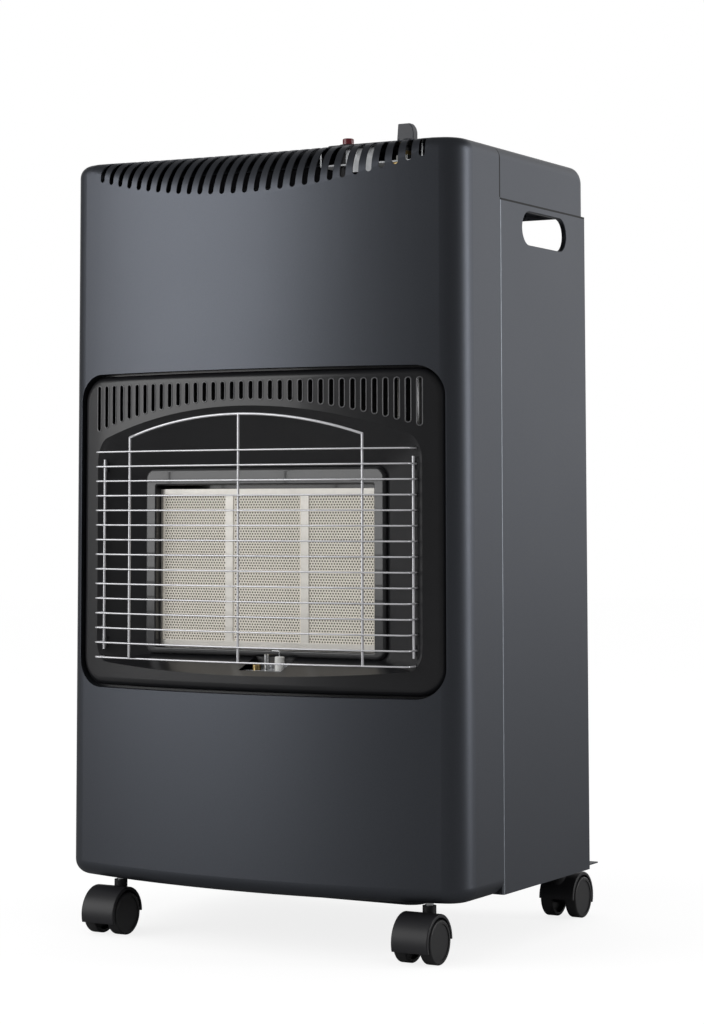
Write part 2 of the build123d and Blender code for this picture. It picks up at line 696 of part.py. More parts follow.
with BuildPart() as gas_manifold:
    with BuildSketch(Plane.YZ.offset(-manifold_half)):
        with Locations((mixing_y, manifold_z)):
            RectangleRounded(MANIFOLD_SIDE, MANIFOLD_SIDE, 1.5)
    extrude(amount=2 * manifold_half)
    with BuildSketch(Plane.YZ.offset(manifold_half)):
        with Locations((mixing_y, manifold_z)):
            RegularPolygon(MANIFOLD_SIDE / 2 - 0.5, 6)
    extrude(amount=UNION_LENGTH)
    with BuildSketch(Plane.YZ.offset(manifold_half + UNION_LENGTH)):
        with Locations((mixing_y, manifold_z)):
            Circle(MANIFOLD_BORE_R)
    extrude(amount=-(2 * manifold_half + UNION_LENGTH - BURNER_WALL), mode=Mode.SUBTRACT)
    with BuildSketch(Plane.XY.offset(manifold_z)):
        with Locations(*[(x, mixing_y) for x in plaque_places]):
            Circle(INJECTOR_BORE_R)
    extrude(amount=MANIFOLD_SIDE, mode=Mode.SUBTRACT)
finish(gas_manifold, "gas_manifold")

with BuildPart() as injectors:
    with BuildSketch(Plane.XY.offset(injector_foot)):
        with Locations(*[(x, mixing_y) for x in plaque_places]):
            RegularPolygon(INJECTOR_R, 6)
            Circle(INJECTOR_BORE_R, mode=Mode.SUBTRACT)
    extrude(amount=INJECTOR_HEIGHT / 2)
    with BuildSketch(Plane.XY.offset(injector_foot + INJECTOR_HEIGHT / 2)):
        with Locations(*[(x, mixing_y) for x in plaque_places]):
            Circle(INJECTOR_R - 1)
            Circle(INJECTOR_ORIFICE_R, mode=Mode.SUBTRACT)
    extrude(amount=INJECTOR_HEIGHT / 2)
finish(injectors, "injectors")

strap_top = body_z + BURNER_BOTTOM - BURNER_GAP + REFLECTOR_TAB
strap_foot = manifold_z - MANIFOLD_SIDE / 2
with BuildPart() as burner_brackets:
    with BuildSketch(Plane.YZ):
        with BuildLine():
            Polyline(
                (reflector_rear, strap_top),
                (reflector_rear + BRACKET_SHEET, strap_top),
                (reflector_rear + BRACKET_SHEET, strap_foot - BRACKET_SHEET),
                (mixing_y - MANIFOLD_SIDE / 2, strap_foot - BRACKET_SHEET),
                (mixing_y - MANIFOLD_SIDE / 2, strap_foot),
                (reflector_rear, strap_foot),
                close=True,
            )
        make_face()
    straps = extrude(amount=STRAP_WIDTH / 2, both=True, mode=Mode.PRIVATE)
    strap_x = (plaque_places[0] + plaque_places[1]) / 2
    with Locations((strap_x, 0, 0), (-strap_x, 0, 0)):
        add(straps)
finish(burner_brackets, "burner_brackets")

# ------------------------------------------------------------ guard grille
def rod(start, end, radius):
    """Straight round rod between two points."""
    axis = Line(start, end)
    with BuildPart() as piece:
        with BuildSketch(Plane(origin=axis @ 0, z_dir=axis % 0)):
            Circle(radius)
        extrude(amount=axis.length)
    return piece.part


with BuildPart() as guard_wire:
    with BuildLine() as wire_line:
        wire_front = ThreePointArc(
            (-GUARD_HALF_WIDTH, guard_end_y), (0, guard_mid_y), (GUARD_HALF_WIDTH, guard_end_y)
        )
        Line(wire_front @ 0, (-GUARD_HALF_WIDTH, guard_end_y + GUARD_RETURN))
        Line(wire_front @ 1, (GUARD_HALF_WIDTH, guard_end_y + GUARD_RETURN))
        fillet([v for v in wire_line.vertices() if abs(v.Y - guard_end_y) < 1e-6], GUARD_BEND_R)
    wire_path = wire_line.wires()[0]
    with BuildSketch(Plane(origin=wire_path @ 0, z_dir=wire_path % 0)):
        Circle(GUARD_WIRE_R)
    sweep(path=wire_path)

with BuildPart() as guard_grille:
    with Locations(*[(0, 0, z) for z in guard_levels]):
        add(guard_wire.part)
    for side in (-1, 1):
        foot = (side * GUARD_UPRIGHT_X, inner_upright_y, guard_levels[0])
        shoulder = (side * GUARD_UPRIGHT_X, inner_upright_y, arch_end_z)
        add(rod(foot, shoulder, GUARD_UPRIGHT_R))
        with Locations(shoulder):
            Sphere(GUARD_UPRIGHT_R)
        low = (side * side_upright_x, side_upright_y, guard_levels[1] - GUARD_PITCH / 2)
        high = (side * side_upright_x, side_upright_y, guard_levels[-2] + GUARD_PITCH / 2)
        add(rod(low, high, GUARD_UPRIGHT_R))
    middle_foot = (0, guard_mid_y + upright_back, guard_levels[0])
    middle_top = (0, guard_mid_y + upright_back, body_z + GUARD_ARCH_TOP)
    add(rod(middle_foot, middle_top, GUARD_UPRIGHT_R))
    with BuildLine():
        arch = ThreePointArc(
            (-GUARD_UPRIGHT_X, inner_upright_y, arch_end_z),
            middle_top,
            (GUARD_UPRIGHT_X, inner_upright_y, arch_end_z),
        )
    with BuildSketch(Plane(origin=arch @ 0, z_dir=arch % 0)):
        Circle(GUARD_UPRIGHT_R)
    sweep(path=arch)
finish(guard_grille, "guard_grille")

with BuildPart() as guard_clips:
    for z in (guard_levels[1], guard_levels[-2]):
        with BuildSketch(facing_front(guard_end_y + GUARD_SIDE_DEPTH + 2 * GUARD_UPRIGHT_R)):
            with Locations((-GUARD_HALF_WIDTH, z), (GUARD_HALF_WIDTH, z)):
                RectangleRounded(CLIP_WIDTH, CLIP_HEIGHT, 1)
                Circle(GUARD_WIRE_R + SEAT_GAP, mode=Mode.SUBTRACT)
        extrude(amount=-GUARD_RETURN)
    add(recess, mode=Mode.INTERSECT)
finish(guard_clips, "guard_clips")

# ------------------------------------------------------------ side panels and lid
side_z = body_z + SIDE_TOP
handle_y = corner_y + HANDLE_CENTRE_DEPTH
handle_z = body_z + HANDLE_CENTRE_HEIGHT
tongue_places = [
    seam_y + FLANGE + TONGUE_WIDTH / 2,
    rear_y - FLANGE - TONGUE_WIDTH / 2,
]

with BuildPart() as right_side_panel:
    with BuildSketch(Plane.XY.offset(body_z)) as panel_plan:
        with BuildLine():
            Polyline(
                (half_width - FLANGE, seam_y),
                (half_width, seam_y),
                (half_width, rear_y),
                (half_width - REAR_FLANGE, rear_y),
                (half_width - REAR_FLANGE, rear_y - SHEET),
                (half_width - SHEET, rear_y - SHEET),
                (half_width - SHEET, seam_y + SHEET),
                (half_width - FLANGE, seam_y + SHEET),
                close=True,
            )
        make_face()
        fillet([v for v in panel_plan.vertices() if abs(v.X - half_width) < SHEET / 2], SIDE_BEND_R)
        fillet(
            [v for v in panel_plan.vertices() if abs(v.X - half_width + SHEET) < SHEET / 10],
            SIDE_BEND_R - SHEET,
        )
    extrude(amount=SIDE_TOP)
    # Flange under the base pan
    with BuildSketch(Plane.XY.offset(body_z)):
        with Locations((half_width - (SHEET + FLANGE) / 2, (seam_y + rear_y) / 2)):
            Rectangle(FLANGE - SHEET, rear_y - seam_y - 2 * SHEET)
    extrude(amount=SHEET)
    with BuildSketch(facing_front(seam_y + SHEET)):
        with Locations(*screw_places):
            Circle(SCREW_R + CLEARANCE)
    extrude(amount=SHEET, mode=Mode.SUBTRACT)
    # Tongues that stand up inside the lid
    with BuildSketch(Plane.YZ.offset(half_width - 2 * SHEET)):
        with Locations(*[(y, side_z) for y in tongue_places]):
            RectangleRounded(TONGUE_WIDTH, 2 * TONGUE_RISE, 3)
    extrude(amount=SHEET)
    # Hand hole with its lip
    with BuildSketch(Plane.YZ.offset(half_width - HANDLE_LIP)):
        with Locations((handle_y, handle_z)):
            SlotOverall(HANDLE_LENGTH + 2 * SHEET, HANDLE_HEIGHT + 2 * SHEET)
    extrude(amount=HANDLE_LIP)
    with BuildSketch(Plane.YZ.offset(half_width)):
        with Locations((handle_y, handle_z)):
            SlotOverall(HANDLE_LENGTH, HANDLE_HEIGHT)
    extrude(amount=-HANDLE_LIP, mode=Mode.SUBTRACT)
    outer_face = right_side_panel.faces().filter_by(Axis.X).sort_by(Axis.X)[-1]
    fillet(outer_face.inner_wires()[0].edges(), SHEET * 0.9)
finish(right_side_panel, "right_side_panel")

with BuildPart() as left_side_panel:
    add(mirror(right_side_panel.part, about=Plane.YZ, mode=Mode.PRIVATE))
finish(left_side_panel, "left_side_panel")

with BuildPart() as case_screws:
    with BuildSketch(facing_front(seam_y + SHEET)):
        with Locations(*screw_places):
            Circle(SCREW_HEAD_R)
    extrude(amount=-SCREW_HEAD)
    fillet(case_screws.faces().group_by(Axis.Y)[-1].edges(), SCREW_HEAD / 2)
    with BuildSketch(facing_front(seam_y + SHEET)):
        with Locations(*screw_places):
            Circle(SCREW_R)
    extrude(amount=SCREW_LENGTH)
finish(case_screws, "case_screws")


def lid_form(inset, drop, front):
    """Outside of the lid, set in by inset, from y = front and drop below its lower edge."""
    with BuildPart() as form:
        with BuildSketch(Plane.YZ) as profile:
            with BuildLine():
                Polyline(
                    (front, side_z - drop),
                    (front, deck_z - inset),
                    (rear_y - inset, deck_z - inset),
                    (rear_y - inset, side_z - drop),
                    close=True,
                )
            make_face()
            fillet(profile.vertices().group_by(Axis.Y)[-1].sort_by(Axis.X)[-1], LID_REAR_R - inset)
        extrude(amount=half_width - inset, both=True)
        for side in form.faces().filter_by(Axis.X):
            low_z = side_z - drop
            rims = [e for e in side.edges() if e.center().Z > low_z + 1 and e.center().Y > front + 1]
            fillet(rims, TOP_ROLL_R - inset)
    return form.part


with BuildPart() as rear_top_lid:
    add(lid_form(0, 0, seam_y - LID_LIP))
    add(lid_form(SHEET, CUT_THROUGH, seam_y - LID_LIP - SHEET), mode=Mode.SUBTRACT)
    # Fitted to the rolled rear edge of the front panel
    add(front_form(-CLEARANCE, seam_y + CLEARANCE), mode=Mode.SUBTRACT)
finish(rear_top_lid, "rear_top_lid")

# ------------------------------------------------------------ base pan
pan_z = body_z + SHEET
pan_top = pan_z + BASE_SHEET
pan_neck_half = half_width - REAR_FLANGE - CLEARANCE
pan_front_half = half_width - SHEET - FLANGE - CLEARANCE
well_y = corner_y + (WELL_FRONT + WELL_REAR) / 2
well_length = WELL_REAR - WELL_FRONT
caster_places = [
    (side * x, corner_y + depth, trail)
    for x, depth, trail in (
        (half_width - CASTER_FRONT_INSET, CASTER_FRONT, -CASTER_TRAIL),
        (half_width - CASTER_REAR_INSET, CASTER_REAR, CASTER_TRAIL),
    )
    for side in (-1, 1)
]


def well_form(grow, raise_by):
    """Tapering block of the pressed-down well."""
    with BuildPart() as form:
        for z, spread in ((pan_z - WELL_DEPTH, 0), (pan_z, WELL_DRAFT)):
            with BuildSketch(Plane.XY.offset(z + raise_by)):
                with Locations((0, well_y)):
                    RectangleRounded(
                        2 * (WELL_HALF_WIDTH + spread + grow), well_length + 2 * (spread + grow) - WELL_DRAFT, WELL_R
                    )
        loft(ruled=True)
    return form.part


with BuildPart() as base_pan:
    with BuildSketch(Plane.XY.offset(pan_z)):
        with BuildLine():
            inset = FOOT_ROLL_R + 2 * SHEET
            end_y = bow_y(pan_front_half, inset)
            edge = ThreePointArc((-pan_front_half, end_y), (0, bow_y(0, inset)), (pan_front_half, end_y))
            lip_rear = corner_y + BASE_REAR
            Polyline(edge @ 1, (pan_front_half, lip_rear), (-pan_front_half, lip_rear), edge @ 0)
        plan = make_face()
        fillet(plan.vertices().group_by(Axis.Y)[0], FOOT_ROLL_R)
        widest_front = seam_y + SHEET + CLEARANCE
        widest_rear = rear_y - SHEET - CLEARANCE
        lip_front = rear_y + CLEARANCE
        with Locations((0, (widest_front + widest_rear) / 2)):
            Rectangle(2 * base_half_width, widest_rear - widest_front)
        with Locations((0, (lip_front + lip_rear) / 2)):
            Rectangle(2 * base_half_width, lip_rear - lip_front)
        # Notches round the rear flanges of the side panels
        notch_x = (pan_neck_half + base_half_width) / 2
        with Locations((-notch_x, (widest_rear + lip_front) / 2), (notch_x, (widest_rear + lip_front) / 2)):
            Rectangle(base_half_width - pan_neck_half, lip_front - widest_rear, mode=Mode.SUBTRACT)
    extrude(amount=BASE_SHEET)
    # Upstands beside the bottle
    with BuildSketch(Plane.XY.offset(pan_top)):
        upstand_x = base_half_width - BASE_SHEET / 2
        with Locations((-upstand_x, (widest_front + widest_rear) / 2), (upstand_x, (widest_front + widest_rear) / 2)):
            Rectangle(BASE_SHEET, widest_rear - widest_front)
    extrude(amount=BASE_UPSTAND)
    add(well_form(0, 0))
    add(well_form(-BASE_SHEET, BASE_SHEET), mode=Mode.SUBTRACT)
    with BuildSketch(Plane.XY.offset(pan_z)):
        with Locations(*[(x, y) for x, y, trail in caster_places]):
            Circle(STEM_R + RUNNING)
    extrude(amount=BASE_SHEET, mode=Mode.SUBTRACT)
finish(base_pan, "base_pan")

# ------------------------------------------------------------ heat shield
shield_y = corner_y + SHIELD_DEPTH
with BuildPart() as heat_shield:
    shield_half = half_width - SHEET
    with BuildSketch(Plane.XY.offset(pan_top)) as shield_plan:
        with BuildLine():
            Polyline(
                (-shield_half, shield_y + SHIELD_FLANGE),
                (-shield_half, shield_y),
                (shield_half, shield_y),
                (shield_half, shield_y + SHIELD_FLANGE),
                (shield_half - SHEET, shield_y + SHIELD_FLANGE),
                (shield_half - SHEET, shield_y + SHEET),
                (-shield_half + SHEET, shield_y + SHEET),
                (-shield_half + SHEET, shield_y + SHIELD_FLANGE),
                close=True,
            )
        make_face()
    extrude(amount=body_z + SHIELD_TOP - pan_top)
    # The foot is narrower, to stand between the base pan's upstands
    with BuildSketch(Plane.XY.offset(pan_top)):
        foot_x = (base_half_width - BASE_SHEET + half_width) / 2
        with Locations((-foot_x, shield_y + SHIELD_FLANGE / 2), (foot_x, shield_y + SHIELD_FLANGE / 2)):
            Rectangle(half_width - base_half_width + BASE_SHEET + CLEARANCE, SHIELD_FLANGE + SHEET)
    extrude(amount=BASE_UPSTAND + SHEET, mode=Mode.SUBTRACT)
finish(heat_shield, "heat_shield")

# ------------------------------------------------------------ controls
plate_top = deck_z + PLATE_RISE
knob_low = deck_z + KNOB_LIFT
knob_high = deck_z + KNOB_TOP
body_top = bracket_top - BRACKET_SHEET
body_foot = body_top - VALVE_HEIGHT
tail_z = body_foot + TAIL_RISE
neck_top = under_deck - VALVE_NECK_DROP
plug_foot = body_foot + VALVE_CAP
plug_top = plug_foot + PLUG_HEIGHT
spindle_foot = plug_top - SPINDLE_ENGAGED

with BuildPart() as control_plate:
    with BuildSketch(Plane.XY.offset(deck_z)):
        with Locations(((PLATE_LEFT + PLATE_RIGHT) / 2, corner_y + (PLATE_FRONT + PLATE_REAR) / 2)):
            RectangleRounded(PLATE_RIGHT - PLATE_LEFT, PLATE_REAR - PLATE_FRONT, PLATE_R)
    extrude(amount=PLATE_RISE)
    fillet(control_plate.faces().sort_by(Axis.Z)[-1].edges(), PLATE_EDGE_R)
    with BuildSketch(Plane.XY.offset(deck_z)):
        with Locations((KNOB_X, control_y)):
            Circle(knob_hole_r)
        with Locations((BUTTON_X, control_y)):
            Circle(igniter_neck_r + CLEARANCE)
    extrude(amount=PLATE_RISE, mode=Mode.SUBTRACT)
finish(control_plate, "control_plate")

bracket_left = PLATE_LEFT - BRACKET_MARGIN
bracket_right = PLATE_RIGHT + BRACKET_MARGIN
with BuildPart() as control_bracket:
    with BuildSketch(facing_front(corner_y + PLATE_REAR)):
        with BuildLine():
            Polyline(
                (bracket_left, under_deck),
                (bracket_left, body_top),
                (bracket_right, body_top),
                (bracket_right, under_deck),
                (bracket_right - BRACKET_SHEET, under_deck),
                (bracket_right - BRACKET_SHEET, bracket_top),
                (bracket_left + BRACKET_SHEET, bracket_top),
                (bracket_left + BRACKET_SHEET, under_deck),
                close=True,
            )
        make_face()
    extrude(amount=PLATE_REAR - PLATE_FRONT)
    # Front skirt that screens the igniter
    with BuildSketch(facing_front(corner_y + PLATE_FRONT)):
        with Locations(((SKIRT_LEFT + SKIRT_RIGHT) / 2, under_deck - SEAT_GAP - SKIRT_HEIGHT / 2)):
            Rectangle(SKIRT_RIGHT - SKIRT_LEFT, SKIRT_HEIGHT)
    extrude(amount=-BRACKET_SHEET)
    with BuildSketch(Plane.XY.offset(body_top)):
        with Locations((KNOB_X, control_y)):
            Circle(VALVE_NECK_R + SEAT_GAP)
        with Locations((BUTTON_X, control_y)):
            Circle(igniter_neck_r + SEAT_GAP)
    extrude(amount=BRACKET_SHEET, mode=Mode.SUBTRACT)
finish(control_bracket, "control_bracket")

with BuildPart() as gas_valve:
    with BuildSketch(Plane.XY.offset(body_foot)):
        with Locations((KNOB_X, control_y)):
            Circle(VALVE_R)
    extrude(amount=VALVE_HEIGHT)
    fillet(gas_valve.edges(), VALVE_EDGE_R)
    with BuildSketch(Plane.XY.offset(body_top)):
        with Locations((KNOB_X, control_y)):
            Circle(VALVE_NECK_R)
    extrude(amount=neck_top - body_top)
    with BuildSketch(facing_front(control_y)):
        with Locations((KNOB_X, tail_z)):
            Circle(INLET_R)
    extrude(amount=-(VALVE_R + INLET_LENGTH))
    # Bore of the plug, passage of the spindle and gas ways
    with BuildSketch(Plane.XY.offset(plug_foot - CLEARANCE)):
        with Locations((KNOB_X, control_y)):
            Circle(PLUG_R + RUNNING)
    extrude(amount=PLUG_HEIGHT + 2 * CLEARANCE, mode=Mode.SUBTRACT)
    with BuildSketch(Plane.XY.offset(plug_top)):
        with Locations((KNOB_X, control_y)):
            Circle(SPINDLE_R + RUNNING)
    extrude(amount=neck_top - plug_top, mode=Mode.SUBTRACT)
    with BuildSketch(facing_front(control_y + VALVE_R + INLET_LENGTH)):
        with Locations((KNOB_X, tail_z)):
            Circle(HOSE_TAIL_BORE_R)
    extrude(amount=VALVE_R + INLET_LENGTH - PLUG_R, mode=Mode.SUBTRACT)
    with BuildSketch(Plane.XY.offset(body_foot)):
        with Locations((KNOB_X, control_y)):
            Circle(PLUG_PORT_R)
    extrude(amount=VALVE_CAP, mode=Mode.SUBTRACT)
finish(gas_valve, "gas_valve")

with BuildPart() as valve_plug:
    with BuildSketch(Plane.XY.offset(plug_foot)):
        with Locations((KNOB_X, control_y)):
            Circle(PLUG_R)
    extrude(amount=PLUG_HEIGHT)
    with BuildSketch(Plane.XY.offset(plug_top)):
        with Locations((KNOB_X, control_y)):
            Circle(SPINDLE_R + RUNNING)
    extrude(amount=-(SPINDLE_ENGAGED + KNOB_PUSH + CLEARANCE), mode=Mode.SUBTRACT)
    with BuildSketch(Plane.XY.offset(plug_foot)):
        with Locations((KNOB_X, control_y)):
            Circle(PLUG_PORT_R)
    extrude(amount=VALVE_CAP, mode=Mode.SUBTRACT)
finish(valve_plug, "valve_plug")

with BuildPart() as valve_nut:
    with BuildSketch(Plane.XY.offset(bracket_top)):
        with Locations((KNOB_X, control_y)):
            RegularPolygon(NUT_R, 6)
            Circle(VALVE_NECK_R + RUNNING, mode=Mode.SUBTRACT)
    extrude(amount=NUT_HEIGHT)
finish(valve_nut, "valve_nut")

with BuildPart() as valve_spindle:
    with BuildSketch(Plane.XY.offset(spindle_foot)):
        with Locations((KNOB_X, control_y)):
            Circle(SPINDLE_R)
    extrude(amount=knob_low + KNOB_BORE_DEPTH - CLEARANCE - spindle_foot)
    # Flat of the D that turns with the knob
    with BuildSketch(Plane.XY.offset(knob_low)):
        with Locations((KNOB_X, control_y - SPINDLE_FLAT - SPINDLE_R / 2)):
            Rectangle(2 * SPINDLE_R, SPINDLE_R)
    extrude(amount=KNOB_BORE_DEPTH, mode=Mode.SUBTRACT)
finish(valve_spindle, "valve_spindle")

grip_left = KNOB_X - KNOB_GRIP_WIDTH / 2
grip_right = KNOB_X + KNOB_GRIP_WIDTH / 2
with BuildPart() as control_knob:
    # Grip bar: upright at one end, rounded off at the other
    with BuildSketch(facing_front(control_y + KNOB_GRIP_THICK / 2)):
        with BuildLine():
            sides = Polyline(
                (grip_right, knob_high - KNOB_SHOULDER_DROP),
                (grip_right, knob_low),
                (grip_left, knob_low),
                (grip_left + KNOB_LEAN, knob_high),
                (grip_right - KNOB_SHOULDER_WIDTH, knob_high),
            )
            TangentArc(sides @ 0, sides @ 1, tangent=(0, 1))
        make_face()
    extrude(amount=KNOB_GRIP_THICK)
    grip_edges = control_knob.edges().filter_by(lambda edge: edge.center().Z > knob_low + 1)
    fillet(grip_edges, KNOB_EDGE_R)
    with BuildSketch(Plane.XY.offset(knob_low)):
        with Locations((KNOB_X, control_y)):
            Circle(KNOB_SKIRT_R)
    extrude(amount=KNOB_SKIRT_HEIGHT)
    with BuildSketch(Plane.XY.offset(knob_low)):
        with Locations((KNOB_X, control_y)):
            Circle(SPINDLE_R + RUNNING)
        with Locations((KNOB_X, control_y - SPINDLE_FLAT - RUNNING - SPINDLE_R / 2)):
            Rectangle(3 * SPINDLE_R, SPINDLE_R, mode=Mode.SUBTRACT)
    extrude(amount=KNOB_BORE_DEPTH, mode=Mode.SUBTRACT)
finish(control_knob, "control_knob")

igniter_foot = body_top - IGNITER_LENGTH
collar_top = plate_top + COLLAR_HEIGHT
button_foot = deck_z - BUTTON_GUIDE
with BuildPart() as igniter_body:
    with BuildSketch(Plane.XY.offset(igniter_foot)):
        with Locations((BUTTON_X, control_y)):
            Circle(IGNITER_R)
    extrude(amount=IGNITER_LENGTH)
    with BuildSketch(Plane.XY.offset(body_top)):
        with Locations((BUTTON_X, control_y)):
            Circle(igniter_neck_r)
    extrude(amount=collar_top - CLEARANCE - body_top)
    bore_foot = button_foot - BUTTON_STROKE - CLEARANCE
    with BuildSketch(Plane.XY.offset(bore_foot)):
        with Locations((BUTTON_X, control_y)):
            Circle(BUTTON_R + RUNNING)
    extrude(amount=collar_top - bore_foot, mode=Mode.SUBTRACT)
finish(igniter_body, "igniter_body")

with BuildPart() as igniter_nut:
    with BuildSketch(Plane.XY.offset(plate_top)):
        with Locations((BUTTON_X, control_y)):
            Circle(COLLAR_R)
    extrude(amount=COLLAR_HEIGHT)
    fillet(igniter_nut.faces().sort_by(Axis.Z)[-1].edges(), BUTTON_EDGE_R / 2)
    with BuildSketch(Plane.XY.offset(plate_top)):
        with Locations((BUTTON_X, control_y)):
            Circle(igniter_neck_r + RUNNING)
    extrude(amount=COLLAR_HEIGHT, mode=Mode.SUBTRACT)
finish(igniter_nut, "igniter_nut")

with BuildPart() as igniter_button:
    with BuildSketch(Plane.XY.offset(button_foot)):
        with Locations((BUTTON_X, control_y)):
            Circle(BUTTON_R)
    extrude(amount=deck_z + BUTTON_TOP - button_foot)
    fillet(igniter_button.faces().sort_by(Axis.Z)[-1].edges(), BUTTON_EDGE_R)
finish(igniter_button, "igniter_button")

# ------------------------------------------------------------ gas pipes and leads
tail_y = control_y + VALVE_R + INLET_LENGTH
with BuildPart() as hose_tail:
    with BuildSketch(facing_front(tail_y)):
        with Locations((KNOB_X, tail_z)):
            Circle(HOSE_TAIL_SHANK_R)
    extrude(amount=-HOSE_TAIL_SHANK)
    with BuildSketch(facing_front(tail_y)):
        with Locations((KNOB_X, tail_z)):
            RegularPolygon(HOSE_TAIL_SHANK_R + 3 * SHEET, 6)
    extrude(amount=-UNION_LENGTH)
    with BuildSketch(facing_front(tail_y + HOSE_TAIL_SHANK)):
        with Locations((KNOB_X, tail_z)):
            Circle(HOSE_TAIL_R)
    extrude(amount=-HOSE_TAIL_LENGTH)
    chamfer(hose_tail.faces().sort_by(Axis.Y)[-1].edges(), 1)
    with BuildSketch(facing_front(tail_y)):
        with Locations((KNOB_X, tail_z)):
            Circle(HOSE_TAIL_BORE_R)
    extrude(amount=-(HOSE_TAIL_SHANK + HOSE_TAIL_LENGTH), mode=Mode.SUBTRACT)
finish(hose_tail, "hose_tail")


def bent_tube(points, bend, radius, bore=0.0):
    """Round tube or cable whose straight runs are joined by bends."""
    bends = [bend] * (len(points) - 2)
    with BuildPart() as tube:
        with BuildLine() as route:
            FilletPolyline(*points, radius=bends)
        path = route.wires()[0]
        with BuildSketch(Plane(origin=path @ 0, z_dir=path % 0)):
            Circle(radius)
            if bore:
                Circle(bore, mode=Mode.SUBTRACT)
        sweep(path=path)
    return tube


under_z = body_z + UNDER_BURNER
pipe_turn_z = body_foot - PIPE_DROP
supply_pipe = bent_tube(
    [
        (KNOB_X, control_y, body_foot),
        (KNOB_X, control_y, pipe_turn_z),
        (PIPE_X, mixing_y, pipe_turn_z - PIPE_SHIFT),
        (PIPE_X, mixing_y, manifold_z),
        (manifold_half + UNION_LENGTH, mixing_y, manifold_z),
    ],
    PIPE_BEND_R,
    PIPE_R,
    PIPE_R - PIPE_WALL,
)
finish(supply_pipe, "supply_pipe")

outlet_x = KNOB_X - VALVE_R / 2
outlet_y = control_y + VALVE_R / 2
shank_foot = shelf_z - SHELF_SHEET - SHANK_DROP
pilot_run_z = under_z - 2 * LEAD_STEP
pilot_pipe = bent_tube(
    [
        (outlet_x, outlet_y, body_foot),
        (outlet_x, outlet_y, pipe_turn_z),
        (PILOT_PIPE_X, corner_y + PILOT_PIPE_DEPTH, pipe_turn_z - PIPE_SHIFT),
        (PILOT_PIPE_X, corner_y + PILOT_PIPE_DEPTH, under_z),
        (PILOT_PIPE_X - LEAD_TURN, throat_y, pilot_run_z),
        (PILOT_BURNER_X, pilot_y, pilot_run_z),
        (PILOT_BURNER_X, pilot_y, shank_foot),
    ],
    PILOT_PIPE_BEND_R,
    PILOT_PIPE_R,
)
finish(pilot_pipe, "pilot_pipe")

thermo_y = control_y - VALVE_R / 2
thermo_run_z = under_z - LEAD_STEP
thermocouple_lead = bent_tube(
    [
        (outlet_x, thermo_y, body_foot),
        (outlet_x, thermo_y, pipe_turn_z),
        (LEAD_X, corner_y + THERMO_LEAD_DEPTH, pipe_turn_z - PIPE_SHIFT),
        (LEAD_X, corner_y + THERMO_LEAD_DEPTH, under_z + LEAD_STEP),
        (LEAD_X - LEAD_TURN, throat_y, thermo_run_z),
        (THERMOCOUPLE_X, pilot_y, thermo_run_z),
        (THERMOCOUPLE_X, pilot_y, shank_foot),
    ],
    LEAD_BEND_R,
    THERMO_LEAD_R,
)
finish(thermocouple_lead, "thermocouple_lead")

ignition_lead = bent_tube(
    [
        (BUTTON_X, control_y, igniter_foot),
        (BUTTON_X, control_y, igniter_foot - PIPE_DROP),
        (LEAD_X, corner_y + LEAD_DEPTH, igniter_foot - PIPE_DROP - 2 * PIPE_SHIFT),
        (LEAD_X, corner_y + LEAD_DEPTH, under_z + 2 * LEAD_STEP),
        (LEAD_X - LEAD_TURN, throat_y, under_z),
        (ELECTRODE_X, pilot_y, under_z),
        (ELECTRODE_X, pilot_y, shank_foot),
    ],
    LEAD_BEND_R,
    LEAD_R,
)
finish(ignition_lead, "ignition_lead")

# ------------------------------------------------------------ pilot
tab_rear = throat_y + 2 * SHEET
with BuildPart() as pilot_bracket:
    with BuildSketch(Plane.YZ.offset(SHELF_LEFT)):
        with BuildLine():
            Polyline(
                (corner_y + SHELF_FRONT, shelf_z - SHELF_SHEET),
                (tab_rear + SHELF_SHEET, shelf_z - SHELF_SHEET),
                (tab_rear + SHELF_SHEET, shelf_z + SHELF_BACK_RISE),
                (tab_rear, shelf_z + SHELF_BACK_RISE),
                (tab_rear, shelf_z),
                (corner_y + SHELF_FRONT, shelf_z),
                close=True,
            )
        make_face()
    extrude(amount=SHELF_RIGHT - SHELF_LEFT)
    with BuildSketch(Plane.XY.offset(shelf_z)):
        with Locations(*[(x, pilot_y) for x in (PILOT_BURNER_X, THERMOCOUPLE_X, ELECTRODE_X)]):
            Circle(SHANK_R + RUNNING)
    extrude(amount=-SHELF_SHEET, mode=Mode.SUBTRACT)
finish(pilot_bracket, "pilot_bracket")


def pilot_piece(x, radius, rise, edge):
    """Piece that stands on the pilot bracket's shelf with a shank through it."""
    with BuildPart() as piece:
        with BuildSketch(Plane.XY.offset(shelf_z)):
            with Locations((x, pilot_y)):
                Circle(radius)
        extrude(amount=rise)
        chamfer(piece.faces().sort_by(Axis.Z)[-1].edges(), edge)
        with BuildSketch(Plane.XY.offset(shelf_z)):
            with Locations((x, pilot_y)):
                Circle(SHANK_R)
        extrude(amount=-(SHANK_DROP + SHELF_SHEET))
    return piece


finish(pilot_piece(PILOT_BURNER_X, PILOT_BURNER_R, PILOT_BURNER_RISE, 1.5), "pilot_burner")
finish(pilot_piece(THERMOCOUPLE_X, THERMOCOUPLE_R, THERMOCOUPLE_RISE, 1.0), "thermocouple")
finish(pilot_piece(ELECTRODE_X, ELECTRODE_R, ELECTRODE_RISE, 0.8), "spark_electrode")

